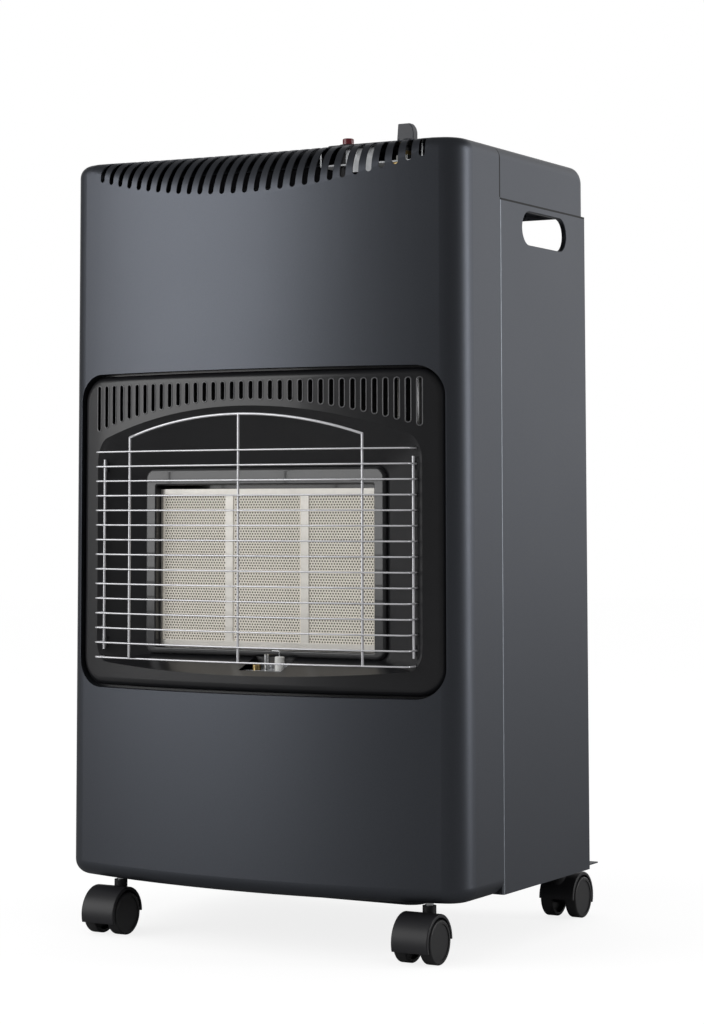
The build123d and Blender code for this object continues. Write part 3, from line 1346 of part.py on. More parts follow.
electrode_top = shelf_z + ELECTRODE_RISE
electrode_wire = bent_tube(
    [
        (ELECTRODE_X, pilot_y, electrode_top),
        (ELECTRODE_X, pilot_y, electrode_top + ELECTRODE_WIRE_RISE),
        (ELECTRODE_X - ELECTRODE_HOOK, pilot_y, electrode_top + ELECTRODE_WIRE_RISE),
    ],
    2 * ELECTRODE_WIRE_R,
    ELECTRODE_WIRE_R,
)
finish(electrode_wire, "electrode_wire")

# ------------------------------------------------------------ casters
stem_foot = body_z - STEM_SHOWN - BOSS_DEPTH + 2 * SHEET
with BuildPart() as caster_stems:
    with BuildSketch(Plane.XY.offset(stem_foot)):
        with Locations(*[(x, y) for x, y, trail in caster_places]):
            Circle(STEM_R)
    extrude(amount=pan_z + STEM_INSERT - stem_foot)
    chamfer(caster_stems.faces().group_by(Axis.Z)[-1].edges(), 0.6)
finish(caster_stems, "caster_stems")

with BuildPart() as caster_sockets:
    with BuildSketch(Plane.XY.offset(pan_top)):
        with Locations(*[(x, y) for x, y, trail in caster_places]):
            RegularPolygon(SOCKET_R, 6)
            Circle(STEM_R + RUNNING, mode=Mode.SUBTRACT)
    extrude(amount=SOCKET_HEIGHT)
finish(caster_sockets, "caster_sockets")

web_width = WHEEL_SPACING - WHEEL_WIDTH - 2 * WHEEL_GAP


for place, (x, y, trail) in zip(("front_left", "front_right", "rear_left", "rear_right"), caster_places):
    wheel_y = y + trail
    with BuildPart() as hood:
        with BuildSketch(Plane.YZ.offset(x)):
            with Locations((wheel_y, WHEEL_R)):
                Circle(HOOD_R)
            with Locations((wheel_y, HOOD_SKIRT - HOOD_R)):
                Rectangle(2 * HOOD_R, 2 * HOOD_R, mode=Mode.SUBTRACT)
            with Locations((wheel_y - math.copysign(HOOD_R, trail), WHEEL_R - HOOD_R)):
                Rectangle(2 * HOOD_R, 2 * HOOD_R, mode=Mode.SUBTRACT)
        extrude(amount=HOOD_WIDTH / 2, both=True)
        for rim in hood.faces().filter_by(Axis.X):
            fillet(rim.edges().filter_by(GeomType.CIRCLE), HOOD_EDGE_R)
        # Pockets that the wheels turn in
        for side in (-1, 1):
            with BuildSketch(Plane.YZ.offset(x + side * web_width / 2)):
                with Locations((wheel_y, WHEEL_R)):
                    Circle(HOOD_R - HOOD_WALL)
            extrude(amount=side * HOOD_WIDTH, mode=Mode.SUBTRACT)
        with BuildSketch(Plane.YZ.offset(x)):
            with Locations((wheel_y, WHEEL_R)):
                Circle(HUB_R)
        extrude(amount=web_width / 2, both=True)
        # Boss that swivels on the stem
        boss_top = body_z - STEM_SHOWN
        with BuildSketch(Plane.XY.offset(boss_top)):
            with Locations((x, y)):
                Circle(BOSS_R)
        extrude(amount=-BOSS_DEPTH)
        with BuildSketch(Plane.XY.offset(boss_top)):
            with Locations((x, y)):
                Circle(STEM_R + RUNNING)
        extrude(amount=stem_foot - CLEARANCE - boss_top, mode=Mode.SUBTRACT)
        with BuildSketch(Plane.YZ.offset(x)):
            with Locations((wheel_y, WHEEL_R)):
                Circle(AXLE_R)
        extrude(amount=web_width, both=True, mode=Mode.SUBTRACT)
    finish(hood, f"caster_{place}_hood")

    with BuildPart() as axle:
        with BuildSketch(Plane.YZ.offset(x)):
            with Locations((wheel_y, WHEEL_R)):
                Circle(AXLE_R)
        extrude(amount=web_width / 2 + WHEEL_GAP + AXLE_GRIP, both=True)
    finish(axle, f"caster_{place}_axle")

    for hand, side in (("left", -1), ("right", 1)):
        inner_x = x + side * (web_width / 2 + WHEEL_GAP)
        with BuildPart() as wheel:
            with BuildSketch(Plane.YZ.offset(inner_x)):
                with Locations((wheel_y, WHEEL_R)):
                    Circle(WHEEL_R)
            extrude(amount=side * WHEEL_WIDTH)
            fillet(wheel.edges(), WHEEL_EDGE_R)
            with BuildSketch(Plane.YZ.offset(inner_x + side * WHEEL_WIDTH)):
                with Locations((wheel_y, WHEEL_R)):
                    Circle(WHEEL_R - WHEEL_RIM)
            extrude(amount=-side * WHEEL_DISH, mode=Mode.SUBTRACT)
            # Hollow on the inner side, round the hub
            with BuildSketch(Plane.YZ.offset(inner_x)):
                with Locations((wheel_y, WHEEL_R)):
                    Circle(WHEEL_R - WHEEL_RIM)
                    Circle(HUB_R, mode=Mode.SUBTRACT)
            extrude(amount=side * (WHEEL_WIDTH - 2 * WHEEL_RIM), mode=Mode.SUBTRACT)
            with BuildSketch(Plane.YZ.offset(inner_x)):
                with Locations((wheel_y, WHEEL_R)):
                    Circle(AXLE_R + RUNNING)
            extrude(amount=side * (AXLE_GRIP + CLEARANCE), mode=Mode.SUBTRACT)
        finish(wheel, f"caster_{place}_wheel_{hand}")
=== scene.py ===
# %% [markdown]
# # A portable gas cabinet heater, dressed for a studio picture
#
# The heater's shape is already finished: its sheet panels, burner, guard, controls and casters
# come from a CAD model. This notebook gives that model its finishes, adds the rolled rims of the
# front slots, which CAD leaves out, and lights it. Everything is in metres, the front faces -Y and the
# casters stand on Z = 0.

# %% Load the CAD model
import math

import bmesh
import bpy
from mathutils import Matrix, Vector


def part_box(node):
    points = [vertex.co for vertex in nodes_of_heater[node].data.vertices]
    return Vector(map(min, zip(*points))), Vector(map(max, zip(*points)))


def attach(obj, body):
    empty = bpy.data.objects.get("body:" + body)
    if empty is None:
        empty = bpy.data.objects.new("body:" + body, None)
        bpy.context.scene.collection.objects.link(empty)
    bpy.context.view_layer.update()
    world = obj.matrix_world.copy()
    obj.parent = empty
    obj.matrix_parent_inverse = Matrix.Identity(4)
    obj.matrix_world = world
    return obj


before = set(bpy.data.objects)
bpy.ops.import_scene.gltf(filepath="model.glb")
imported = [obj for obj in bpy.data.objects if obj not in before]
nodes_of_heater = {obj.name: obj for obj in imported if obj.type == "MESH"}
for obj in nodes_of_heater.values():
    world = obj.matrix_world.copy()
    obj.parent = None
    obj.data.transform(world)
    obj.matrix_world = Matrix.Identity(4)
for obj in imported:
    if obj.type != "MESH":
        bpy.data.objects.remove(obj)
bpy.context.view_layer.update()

# %% [markdown]
# ## The camera
#
# The photograph was taken from low down on the right with a long lens. Its vertical edges
# converge upwards only a little, and the picture's middle lies below the lens axis, so the lens
# was shifted. A camera is fixed by its place, its three turns, its focal length and that shift.
# Writing the turn as a yaw, a pitch and a roll keeps each number readable.

# %% Camera
CAMERA_PLACE = Vector((1.2505, -2.1812, 0.4083))
CAMERA_YAW = math.radians(29.478)
CAMERA_PITCH = math.radians(4.478)
CAMERA_ROLL = math.radians(-0.081)
FOCAL_LENGTH = 89.02
SENSOR_WIDTH = 36.0
LENS_SHIFT = -0.1989

camera_data = bpy.data.cameras.new("studio_camera")
camera_data.lens = FOCAL_LENGTH
camera_data.sensor_width = SENSOR_WIDTH
camera_data.shift_y = LENS_SHIFT
camera = bpy.data.objects.new("studio_camera", camera_data)
bpy.context.collection.objects.link(camera)
turn = (
    Matrix.Rotation(CAMERA_YAW, 4, "Z")
    @ Matrix.Rotation(math.pi / 2 + CAMERA_PITCH, 4, "X")
    @ Matrix.Rotation(CAMERA_ROLL, 4, "Z")
)
camera.matrix_world = Matrix.Translation(CAMERA_PLACE) @ turn
bpy.context.scene.camera = camera
print("camera looks along", tuple(round(v, 3) for v in turn @ Vector((0, 0, -1))))

# %% [markdown]
# ## Shared effects
#
# Several finishes share an effect. Powder coat, enamel and moulded plastic all have a fine grain
# and faint smudges, differing only in scale and strength, so the grain is one node group that
# each material uses with its own values. A group hands out only what changes over the surface:
# a shade, a roughness and a normal.

# %% Helpers for node trees
def start_group(name, inputs, outputs):
    """An empty shader node group with these sockets."""
    tree = bpy.data.node_groups.new(name, "ShaderNodeTree")
    for label, kind, value in inputs:
        socket = tree.interface.new_socket(label, in_out="INPUT", socket_type="NodeSocket" + kind)
        if value is not None:
            socket.default_value = value
    for label, kind in outputs:
        tree.interface.new_socket(label, in_out="OUTPUT", socket_type="NodeSocket" + kind)
    return tree, tree.nodes.new("NodeGroupInput"), tree.nodes.new("NodeGroupOutput")


def place(tree, kind, **values):
    """A new node; values set its properties, or its inputs where no property has that name."""
    node = tree.nodes.new(kind)
    for label, value in values.items():
        if hasattr(node, label):
            setattr(node, label, value)
        else:
            node.inputs[label.replace("_", " ")].default_value = value
    return node


def calculate(tree, operation, first, second):
    """A Math node; each operand is a number or an output socket."""
    node = tree.nodes.new("ShaderNodeMath")
    node.operation = operation
    for slot_number, operand in enumerate((first, second)):
        if isinstance(operand, (int, float)):
            node.inputs[slot_number].default_value = operand
        else:
            tree.links.new(operand, node.inputs[slot_number])
    return node.outputs[0]


# %% Grain and smudges
grain_tree, grain_in, grain_out = start_group(
    "grain_and_smudges",
    [
        ("Vector", "Vector", None),
        ("Grain Scale", "Float", 900.0),
        ("Grain Depth", "Float", 0.00002),
        ("Smudge Scale", "Float", 9.0),
        ("Roughness", "Float", 0.4),
        ("Roughness Spread", "Float", 0.06),
    ],
    [("Shade", "Float"), ("Roughness", "Float"), ("Normal", "Vector")],
)
fine = place(grain_tree, "ShaderNodeTexNoise", Detail=3.0)
broad = place(grain_tree, "ShaderNodeTexNoise", Detail=4.0)
for noise, scale in ((fine, "Grain Scale"), (broad, "Smudge Scale")):
    grain_tree.links.new(grain_in.outputs["Vector"], noise.inputs["Vector"])
    grain_tree.links.new(grain_in.outputs[scale], noise.inputs["Scale"])
bump = place(grain_tree, "ShaderNodeBump", Strength=1.0)
grain_tree.links.new(grain_in.outputs["Grain Depth"], bump.inputs["Distance"])
grain_tree.links.new(fine.outputs["Fac"], bump.inputs["Height"])
centred = calculate(grain_tree, "SUBTRACT", broad.outputs["Fac"], 0.5)
swing = calculate(grain_tree, "MULTIPLY", centred, grain_in.outputs["Roughness Spread"])
rough = calculate(grain_tree, "ADD", swing, grain_in.outputs["Roughness"])
grain_tree.links.new(fine.outputs["Fac"], grain_out.inputs["Shade"])
grain_tree.links.new(rough, grain_out.inputs["Roughness"])
grain_tree.links.new(bump.outputs["Normal"], grain_out.inputs["Normal"])
print("group", grain_tree.name, "with", len(grain_tree.nodes), "nodes")


# %% [markdown]
# ## A recipe for plain finishes
#
# Most finishes here are one colour with grain over it. The recipe below takes two close shades
# and lets the grain choose between them, which is what makes a sprayed metallic paint sparkle
# faintly. Colours that stay the same all over sit on the shader's own sockets.

# %% Finish recipe
COAT_ROUGHNESS = 0.08


def finish_of(name, dark, light, roughness, metallic=0.0, grain=900.0, depth=0.00002, spread=0.06, coat=0.0):
    """A material of two close shades mixed by grain."""
    material = bpy.data.materials.new(name)
    material.use_nodes = True
    tree = material.node_tree
    shader = tree.nodes["Principled BSDF"]
    shader.inputs["Metallic"].default_value = metallic
    shader.inputs["Coat Weight"].default_value = coat
    shader.inputs["Coat Roughness"].default_value = COAT_ROUGHNESS
    coords = tree.nodes.new("ShaderNodeTexCoord")
    effect = tree.nodes.new("ShaderNodeGroup")
    effect.node_tree = grain_tree
    effect.inputs["Grain Scale"].default_value = grain
    effect.inputs["Grain Depth"].default_value = depth
    effect.inputs["Roughness"].default_value = roughness
    effect.inputs["Roughness Spread"].default_value = spread
    tree.links.new(coords.outputs["Object"], effect.inputs["Vector"])
    shades = tree.nodes.new("ShaderNodeMix")
    shades.data_type = "RGBA"
    shades.inputs["A"].default_value = (*dark, 1.0)
    shades.inputs["B"].default_value = (*light, 1.0)
    tree.links.new(effect.outputs["Shade"], shades.inputs["Factor"])
    tree.links.new(shades.outputs["Result"], shader.inputs["Base Color"])
    tree.links.new(effect.outputs["Roughness"], shader.inputs["Roughness"])
    tree.links.new(effect.outputs["Normal"], shader.inputs["Normal"])
    return material


def dress(material, *names):
    """Gives CAD nodes this material in place of their plain one."""
    for name in names:
        mesh = nodes_of_heater[name].data
        mesh.materials.clear()
        mesh.materials.append(material)


# %% [markdown]
# ## Painted cabinet
#
# The front, the sides and the lid are sheet steel in a satin slate paint with fine metal flake.
# The broad, soft gradient across the bowed front is a blurred reflection of the studio, so the
# paint is mostly metallic at middling roughness; the flake comes from the grain.

# %% Cabinet paint
slate_paint = finish_of("slate_paint", (0.080, 0.086, 0.100), (0.113, 0.121, 0.139), 0.42, metallic=0.92,
                        grain=1600.0, depth=0.00002, spread=0.05)
dress(slate_paint, "front_panel", "right_side_panel", "left_side_panel", "rear_top_lid")

# %% [markdown]
# Where the sheets meet, a real cabinet shows a dark line of shadow in the gap under the lid and beside
# it, and a pale line where the edge of the side panel catches the light. The gaps are far narrower
# than a pixel, so the paint draws both lines as painted light: a painted shadow in bands beside the
# seam, which is the rear edge of the front panel, and under the lower edge of the lid, and a painted
# highlight along the side panel's edge. Both places come from the imported model.

# %% Seam lines
LINE_WIDTH = 0.0018
seam_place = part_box("front_panel")[1].y
lid_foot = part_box("rear_top_lid")[0].z

seams_tree, seams_in, seams_out = start_group(
    "seam_lines",
    [("Vector", "Vector", None), ("Seam", "Float", 0.0), ("Lid Foot", "Float", 0.7)],
    [("Shadow", "Float"), ("Edge Highlight", "Float")],
)
seam_axes = seams_tree.nodes.new("ShaderNodeSeparateXYZ")
seams_tree.links.new(seams_in.outputs["Vector"], seam_axes.inputs[0])
past_seam = calculate(seams_tree, "SUBTRACT", seam_axes.outputs["Y"], seams_in.outputs["Seam"])
above_foot = calculate(seams_tree, "SUBTRACT", seam_axes.outputs["Z"], seams_in.outputs["Lid Foot"])


def band(value, start, end):
    """1 where the value lies between two limits."""
    after = calculate(seams_tree, "GREATER_THAN", value, start)
    before = calculate(seams_tree, "LESS_THAN", value, end)
    return calculate(seams_tree, "MULTIPLY", after, before)


is_lid_high = calculate(seams_tree, "GREATER_THAN", above_foot, 0.0)
is_panel_high = calculate(seams_tree, "LESS_THAN", above_foot, -LINE_WIDTH)
is_behind = calculate(seams_tree, "GREATER_THAN", past_seam, 0.0)
# Painted shadow: dark bands on the lid beside the seam and behind the seam under the lid's lower edge.
beside_lid = calculate(seams_tree, "MULTIPLY", band(past_seam, -LINE_WIDTH, 0.0), is_lid_high)
under_lid = calculate(seams_tree, "MULTIPLY", band(above_foot, -LINE_WIDTH, 0.0), is_behind)
shadow = calculate(seams_tree, "MAXIMUM", beside_lid, under_lid)
# Painted highlight: a pale band on the side panel just behind the seam, below the lid.
painted_edge_highlight = calculate(seams_tree, "MULTIPLY", band(past_seam, 0.0, LINE_WIDTH), is_panel_high)
seams_tree.links.new(shadow, seams_out.inputs["Shadow"])
seams_tree.links.new(painted_edge_highlight, seams_out.inputs["Edge Highlight"])

# %% Seam lines on the paint
# The near-black colour is a painted shadow in the gaps, the pale one a painted highlight on the side panel's
# edge.
SHADOW_COLOUR = (0.004, 0.004, 0.005)
PAINTED_HIGHLIGHT_COLOUR = (0.25, 0.27, 0.30)

paint_tree = slate_paint.node_tree
paint_shader = paint_tree.nodes["Principled BSDF"]
paint_coords = next(node for node in paint_tree.nodes if node.type == "TEX_COORD")
seam_lines = paint_tree.nodes.new("ShaderNodeGroup")
seam_lines.node_tree = seams_tree
seam_lines.inputs["Seam"].default_value = seam_place
seam_lines.inputs["Lid Foot"].default_value = lid_foot
paint_tree.links.new(paint_coords.outputs["Object"], seam_lines.inputs["Vector"])
for mask, colour in (("Shadow", SHADOW_COLOUR), ("Edge Highlight", PAINTED_HIGHLIGHT_COLOUR)):
    under = paint_shader.inputs["Base Color"].links[0].from_socket
    drawn = paint_tree.nodes.new("ShaderNodeMix")
    drawn.data_type = "RGBA"
    drawn.inputs["B"].default_value = (*colour, 1.0)
    paint_tree.links.new(seam_lines.outputs[mask], drawn.inputs["Factor"])
    paint_tree.links.new(under, drawn.inputs["A"])
    paint_tree.links.new(drawn.outputs["Result"], paint_shader.inputs["Base Color"])
print("seam at y", round(seam_place, 4), "and lid foot at z", round(lid_foot, 4))

# %% Base paint
base_paint = finish_of("base_paint", (0.045, 0.050, 0.058), (0.070, 0.076, 0.088), 0.5, metallic=0.6,
                       grain=1300.0, depth=0.00003)
dress(base_paint, "base_pan")

# %% [markdown]
# ## Black enamel
#
# The window surround and the collar round the burner are fired with gloss black enamel. It is
# nearly black, and what one sees is its reflections, so it gets a low roughness and a faint
# long-waved bump, because enamel on pressed sheet is never perfectly flat.

# %% Enamel
black_enamel = finish_of("black_enamel", (0.010, 0.010, 0.011), (0.014, 0.014, 0.016), 0.3, grain=60.0,
                         depth=0.00006, spread=0.05, coat=0.15)
recess_enamel = finish_of("recess_enamel", (0.012, 0.012, 0.013), (0.017, 0.017, 0.019), 0.3, grain=40.0,
                          depth=0.0001, spread=0.06, coat=0.75)
# The rims' grey is a painted highlight: the same black enamel, coloured pale where the rolled edges catch the
# light.
painted_highlight_enamel = finish_of("painted_highlight_enamel", (0.085, 0.085, 0.090), (0.11, 0.11, 0.115), 0.3, grain=200.0,
                       depth=0.00001, coat=1.0)
dress(black_enamel, "window_surround")
dress(recess_enamel, "reflector")

# %% [markdown]
# ## Rolled rims of the surround's slots
#
# On the pressing, the die rolls the edge of every slot over, and the roll catches the light as a
# thin pale line. The imported node has plain edges. A tube laid along each edge is the simplest
# roll, and the edges are already in the node: they are where a face that looks forwards meets
# the wall of a slot. A merged copy of the node gives them, and each closed loop becomes a curve
# with a round bevel. The tubes take a grey enamel, far paler than the black surround, so their
# pale line is a painted highlight besides the lamps' highlight on their coat.

# %% Loops of sharp edges
MERGE_DISTANCE = 0.00002
SHARPEST = math.radians(50.0)
LOOKS_FORWARDS = -0.5


def sharp_loops(name):
    """The corners of each closed loop of a node's sharp edges beside a face that looks forwards."""
    form = bmesh.new()
    form.from_mesh(nodes_of_heater[name].data)
    bmesh.ops.remove_doubles(form, verts=form.verts, dist=MERGE_DISTANCE)
    next_to = {}
    for edge in form.edges:
        if len(edge.link_faces) != 2 or edge.calc_face_angle() < SHARPEST:
            continue
        if min(face.normal.y for face in edge.link_faces) > LOOKS_FORWARDS:
            continue
        for vert in edge.verts:
            next_to.setdefault(vert, []).append(edge.other_vert(vert))
    loops = []
    while next_to:
        start = next(iter(next_to))
        loop, here = [], start
        while here in next_to:
            loop.append(here.co.copy())
            onward = [vert for vert in next_to.pop(here) if vert in next_to]
            here = onward[0] if onward else start
        loops.append(loop)
    form.free()
    return loops


# %% Rims
RIM_RADIUS = 0.0006
RIM_LINES = 2
SLOTS_START = 0.47
SLOTS_END = 0.53
SLOT_WIDTH_LIMIT = 0.006

rim_line = bpy.data.curves.new("slot_rims_line", "CURVE")
rim_line.dimensions = "3D"
rim_line.bevel_depth = RIM_RADIUS
rim_line.bevel_resolution = RIM_LINES
for loop in sharp_loops("window_surround"):
    heights = [corner.z for corner in loop]
    sides = [corner.x for corner in loop]
    in_row = min(heights) > SLOTS_START and max(heights) < SLOTS_END
    if not in_row or max(sides) - min(sides) > SLOT_WIDTH_LIMIT:
        continue
    spline = rim_line.splines.new("POLY")
    spline.points.add(len(loop) - 1)
    for point, corner in zip(spline.points, loop):
        point.co = (*corner, 1.0)
    spline.use_cyclic_u = True
rim_bender = bpy.data.objects.new("slot_rims_bender", rim_line)
rim_mesh = bpy.data.meshes.new_from_object(rim_bender)
rim_mesh.name = "slot_rims"
print("rims on", len(rim_line.splines), "slots")
bpy.data.objects.remove(rim_bender)
bpy.data.curves.remove(rim_line)
slot_rims = bpy.data.objects.new("slot_rims", rim_mesh)
bpy.context.collection.objects.link(slot_rims)
# The rims take the pale enamel, a painted highlight.
rim_mesh.materials.clear()
rim_mesh.materials.append(painted_highlight_enamel)
for polygon in rim_mesh.polygons:
    polygon.use_smooth = True
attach(slot_rims, "cabinet")

# %% [markdown]
# ## Bare and plated metal
#
# Inside the heater there is galvanised sheet with a soft spangle, drawn and cast parts, and
# brass. The guard is bright chrome wire. Each is metallic with its own colour and roughness. The
# heat shield is coloured near black, as painted shade for the dark inside of the cabinet.

# %% Metals
galvanised = finish_of("galvanised_sheet", (0.32, 0.33, 0.34), (0.52, 0.53, 0.54), 0.32,
                       metallic=1.0, grain=160.0, depth=0.00001, spread=0.12)
bright_frame = finish_of("bright_frame", (0.53, 0.51, 0.47), (0.62, 0.60, 0.56), 0.3,
                         metallic=0.6, grain=260.0, depth=0.00001, spread=0.1)
cast_metal = finish_of("cast_metal", (0.33, 0.33, 0.32), (0.50, 0.50, 0.48), 0.5,
                       metallic=1.0, grain=700.0, depth=0.00008)
zinc_plate = finish_of("zinc_plate", (0.60, 0.61, 0.62), (0.78, 0.79, 0.80), 0.2,
                       metallic=1.0, grain=500.0, depth=0.00001)
chrome_wire = finish_of("chrome_wire", (0.72, 0.72, 0.75), (0.82, 0.82, 0.85), 0.2,
                        metallic=0.45, grain=900.0, depth=0.000005)
brass = finish_of("brass", (0.56, 0.40, 0.16), (0.74, 0.55, 0.26), 0.28,
                  metallic=1.0, grain=600.0, depth=0.00001)
pipe_metal = finish_of("pipe_metal", (0.55, 0.55, 0.56), (0.72, 0.72, 0.73), 0.3,
                       metallic=1.0, grain=400.0, depth=0.00001)
# Near black as painted shade: the inside of the cabinet seen through the crown slots is dark, so the shield's
# sheet is coloured almost black.
painted_shade_steel = finish_of("painted_shade_steel", (0.008, 0.008, 0.009), (0.016, 0.016, 0.018), 0.6,
                       metallic=0.5, grain=300.0, depth=0.00001)

# %% Where the metals go
CASTERS = ("front_left", "front_right", "rear_left", "rear_right")
caster_axles = [f"caster_{corner}_axle" for corner in CASTERS]
dress(galvanised, "burner_brackets", "control_bracket", "pilot_bracket")
# The heat shield takes the near-black painted shade.
dress(painted_shade_steel, "heat_shield")
dress(bright_frame, "plaque_frame")
dress(cast_metal, "burner_box", "mixing_tubes", "gas_manifold", "valve_nut")
dress(zinc_plate, "caster_stems", "caster_sockets", "case_screws", "valve_spindle", "thermocouple")
dress(zinc_plate, "electrode_wire", *caster_axles)
dress(chrome_wire, "guard_grille")
dress(brass, "gas_valve", "valve_plug", "hose_tail", "injectors", "pilot_burner")
dress(pipe_metal, "supply_pipe", "pilot_pipe", "thermocouple_lead")

# %% [markdown]
# ## Moulded parts
#
# Knob, collar, clips, hoods and wheels are moulded in black plastic, and the igniter's button in
# dark red. Plastic isn't metallic; its finish lies in the roughness and in a very fine grain.

# %% Plastics and cable
black_plastic = finish_of("black_plastic", (0.012, 0.012, 0.014), (0.020, 0.020, 0.023), 0.48,
                          grain=1200.0, depth=0.00002)
knob_plastic = finish_of("knob_plastic", (0.034, 0.036, 0.043), (0.050, 0.053, 0.062), 0.42,
                         grain=1500.0, depth=0.00002)
wheel_plastic = finish_of("wheel_plastic", (0.014, 0.014, 0.015), (0.024, 0.024, 0.026), 0.42,
                          grain=1000.0, depth=0.00003)
red_plastic = finish_of("red_plastic", (0.11, 0.008, 0.014), (0.15, 0.012, 0.020), 0.3,
                        grain=900.0, depth=0.00001, coat=0.4)
cable_sleeve = finish_of("cable_sleeve", (0.55, 0.53, 0.49), (0.66, 0.64, 0.60), 0.5, grain=700.0)

# %% Where the plastics go
caster_hoods = [f"caster_{corner}_hood" for corner in CASTERS]
caster_wheels = [f"caster_{corner}_wheel_{hand}" for corner in CASTERS for hand in ("left", "right")]
dress(black_plastic, "guard_clips", "control_plate", "igniter_nut", "igniter_body", *caster_hoods)
dress(knob_plastic, "control_knob")
dress(wheel_plastic, *caster_wheels)
dress(red_plastic, "igniter_button")
dress(cable_sleeve, "ignition_lead")

# %% [markdown]
# ## Ceramic plaques
#
# Each plaque is a tile of cream ceramic with thousands of fine holes in staggered rows, and a
# plain border. Modelling every hole would cost millions of faces, so the holes are a pattern:
# two offset square grids of dots, measured on the face's X and Z, darken the colour and sink the
# surface. The darkening is painted shade inside the holes. The border is left bare by a mask made
# from the distance to the plaque's middle.

# %% Hole pattern
HOLE_PITCH = 0.0029
ROW_PITCH = 0.0025
HOLE_RADIUS = 0.00078
HOLE_EDGE = 0.25
HOLE_DEPTH = 0.0006
HOLE_STRENGTH = 0.8

holes_tree, holes_in, holes_out = start_group(
    "plaque_holes",
    [
        ("Vector", "Vector", None),
        ("Half Width", "Float", 0.036),
        ("Half Height", "Float", 0.071),
    ],
    [("Holes", "Float"), ("Normal", "Vector")],
)
axes = holes_tree.nodes.new("ShaderNodeSeparateXYZ")
holes_tree.links.new(holes_in.outputs["Vector"], axes.inputs[0])


def dots(shift_x, shift_z):
    """1 inside the holes of one grid, 0 outside."""
    offsets = []
    for axis, pitch, shift in (("X", HOLE_PITCH, shift_x), ("Z", 2 * ROW_PITCH, shift_z)):
        steps = calculate(holes_tree, "DIVIDE", axes.outputs[axis], pitch)
        moved = calculate(holes_tree, "ADD", steps, shift)
        part = calculate(holes_tree, "FRACT", moved, 0.0)
        middle = calculate(holes_tree, "SUBTRACT", part, 0.5)
        offsets.append(calculate(holes_tree, "MULTIPLY", middle, pitch))
    squares = [calculate(holes_tree, "MULTIPLY", offset, offset) for offset in offsets]
    distance = calculate(holes_tree, "SQRT", calculate(holes_tree, "ADD", *squares), 0.0)
    edge = place(holes_tree, "ShaderNodeMapRange")
    edge.inputs["From Min"].default_value = HOLE_RADIUS * (1 + HOLE_EDGE)
    edge.inputs["From Max"].default_value = HOLE_RADIUS * (1 - HOLE_EDGE)
    holes_tree.links.new(distance, edge.inputs["Value"])
    return edge.outputs["Result"]


def inside(axis, limit):
    """1 where the coordinate is nearer the middle than the limit."""
    size = calculate(holes_tree, "ABSOLUTE", axes.outputs[axis], 0.0)
    return calculate(holes_tree, "LESS_THAN", size, holes_in.outputs[limit])


both_grids = calculate(holes_tree, "MAXIMUM", dots(0.0, 0.0), dots(0.5, 0.5))
field = calculate(holes_tree, "MULTIPLY", inside("X", "Half Width"), inside("Z", "Half Height"))
holes_mask = calculate(holes_tree, "MULTIPLY", both_grids, field)
depth_of_holes = calculate(holes_tree, "SUBTRACT", 1.0, holes_mask)
holes_bump = place(holes_tree, "ShaderNodeBump", Distance=HOLE_DEPTH, Strength=HOLE_STRENGTH)
holes_tree.links.new(depth_of_holes, holes_bump.inputs["Height"])
holes_tree.links.new(holes_mask, holes_out.inputs["Holes"])
holes_tree.links.new(holes_bump.outputs["Normal"], holes_out.inputs["Normal"])
print("group", holes_tree.name, "with", len(holes_tree.nodes), "nodes")

# %% [markdown]
# The pattern has to sit centred on each plaque, so each plaque has its own copy of the ceramic,
# with a Mapping node that moves the pattern to the plaque's middle.

# %% Ceramic
CERAMIC = (0.93, 0.875, 0.775)
DARKER = 0.93
# The dark colour of the holes is painted shade inside them.
PAINTED_HOLE_SHADE = (0.10, 0.085, 0.065)


def ceramic_for(name, centre):
    """Cream ceramic with its hole pattern centred at a point."""
    darker_ceramic = tuple(DARKER * part for part in CERAMIC)
    material = finish_of(name, darker_ceramic, CERAMIC, 0.8, grain=500.0, depth=0.00003)
    tree = material.node_tree
    shader = tree.nodes["Principled BSDF"]
    plain = shader.inputs["Base Color"].links[0].from_socket
    coords = next(node for node in tree.nodes if node.type == "TEX_COORD")
    shift = tree.nodes.new("ShaderNodeMapping")
    shift.inputs["Location"].default_value = (-centre.x, 0.0, -centre.z)
    pattern = tree.nodes.new("ShaderNodeGroup")
    pattern.node_tree = holes_tree
    tree.links.new(coords.outputs["Object"], shift.inputs["Vector"])
    tree.links.new(shift.outputs["Vector"], pattern.inputs["Vector"])
    pierced = tree.nodes.new("ShaderNodeMix")
    pierced.data_type = "RGBA"
    # The holes are drawn in the painted shade colour.
    pierced.inputs["B"].default_value = (*PAINTED_HOLE_SHADE, 1.0)
    tree.links.new(plain, pierced.inputs["A"])
    tree.links.new(pattern.outputs["Holes"], pierced.inputs["Factor"])
    tree.links.new(pierced.outputs["Result"], shader.inputs["Base Color"])
    tree.links.new(pattern.outputs["Normal"], shader.inputs["Normal"])
    return material


for name in ("plaque_left", "plaque_centre", "plaque_right"):
    low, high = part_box(name)
    middle = (Vector(low) + Vector(high)) / 2
    dress(ceramic_for(f"ceramic_of_{name}", middle), name)
    print(name, "centred at", tuple(round(v, 4) for v in middle))

# %% [markdown]
# The spark electrode's insulator is a white, glazed ceramic without holes, so it takes the plain
# recipe with a thin coat for the glaze.

# %% Glazed ceramic
white_ceramic = finish_of("white_ceramic", (0.74, 0.74, 0.72), (0.82, 0.82, 0.80), 0.25,
                          grain=400.0, coat=0.3)
dress(white_ceramic, "spark_electrode")

# %% [markdown]
# ## Floor and backdrop
#
# The heater stands on a pale floor in front of a white sweep. Light Path tells a material which
# kind of ray looks at it. Rays from the camera see the floor's own shading with a white glow
# added, so that it clips to white everywhere but in the heater's shadow. Reflections and bounced
# light see the floor's own shading alone, so the glow lights nothing.

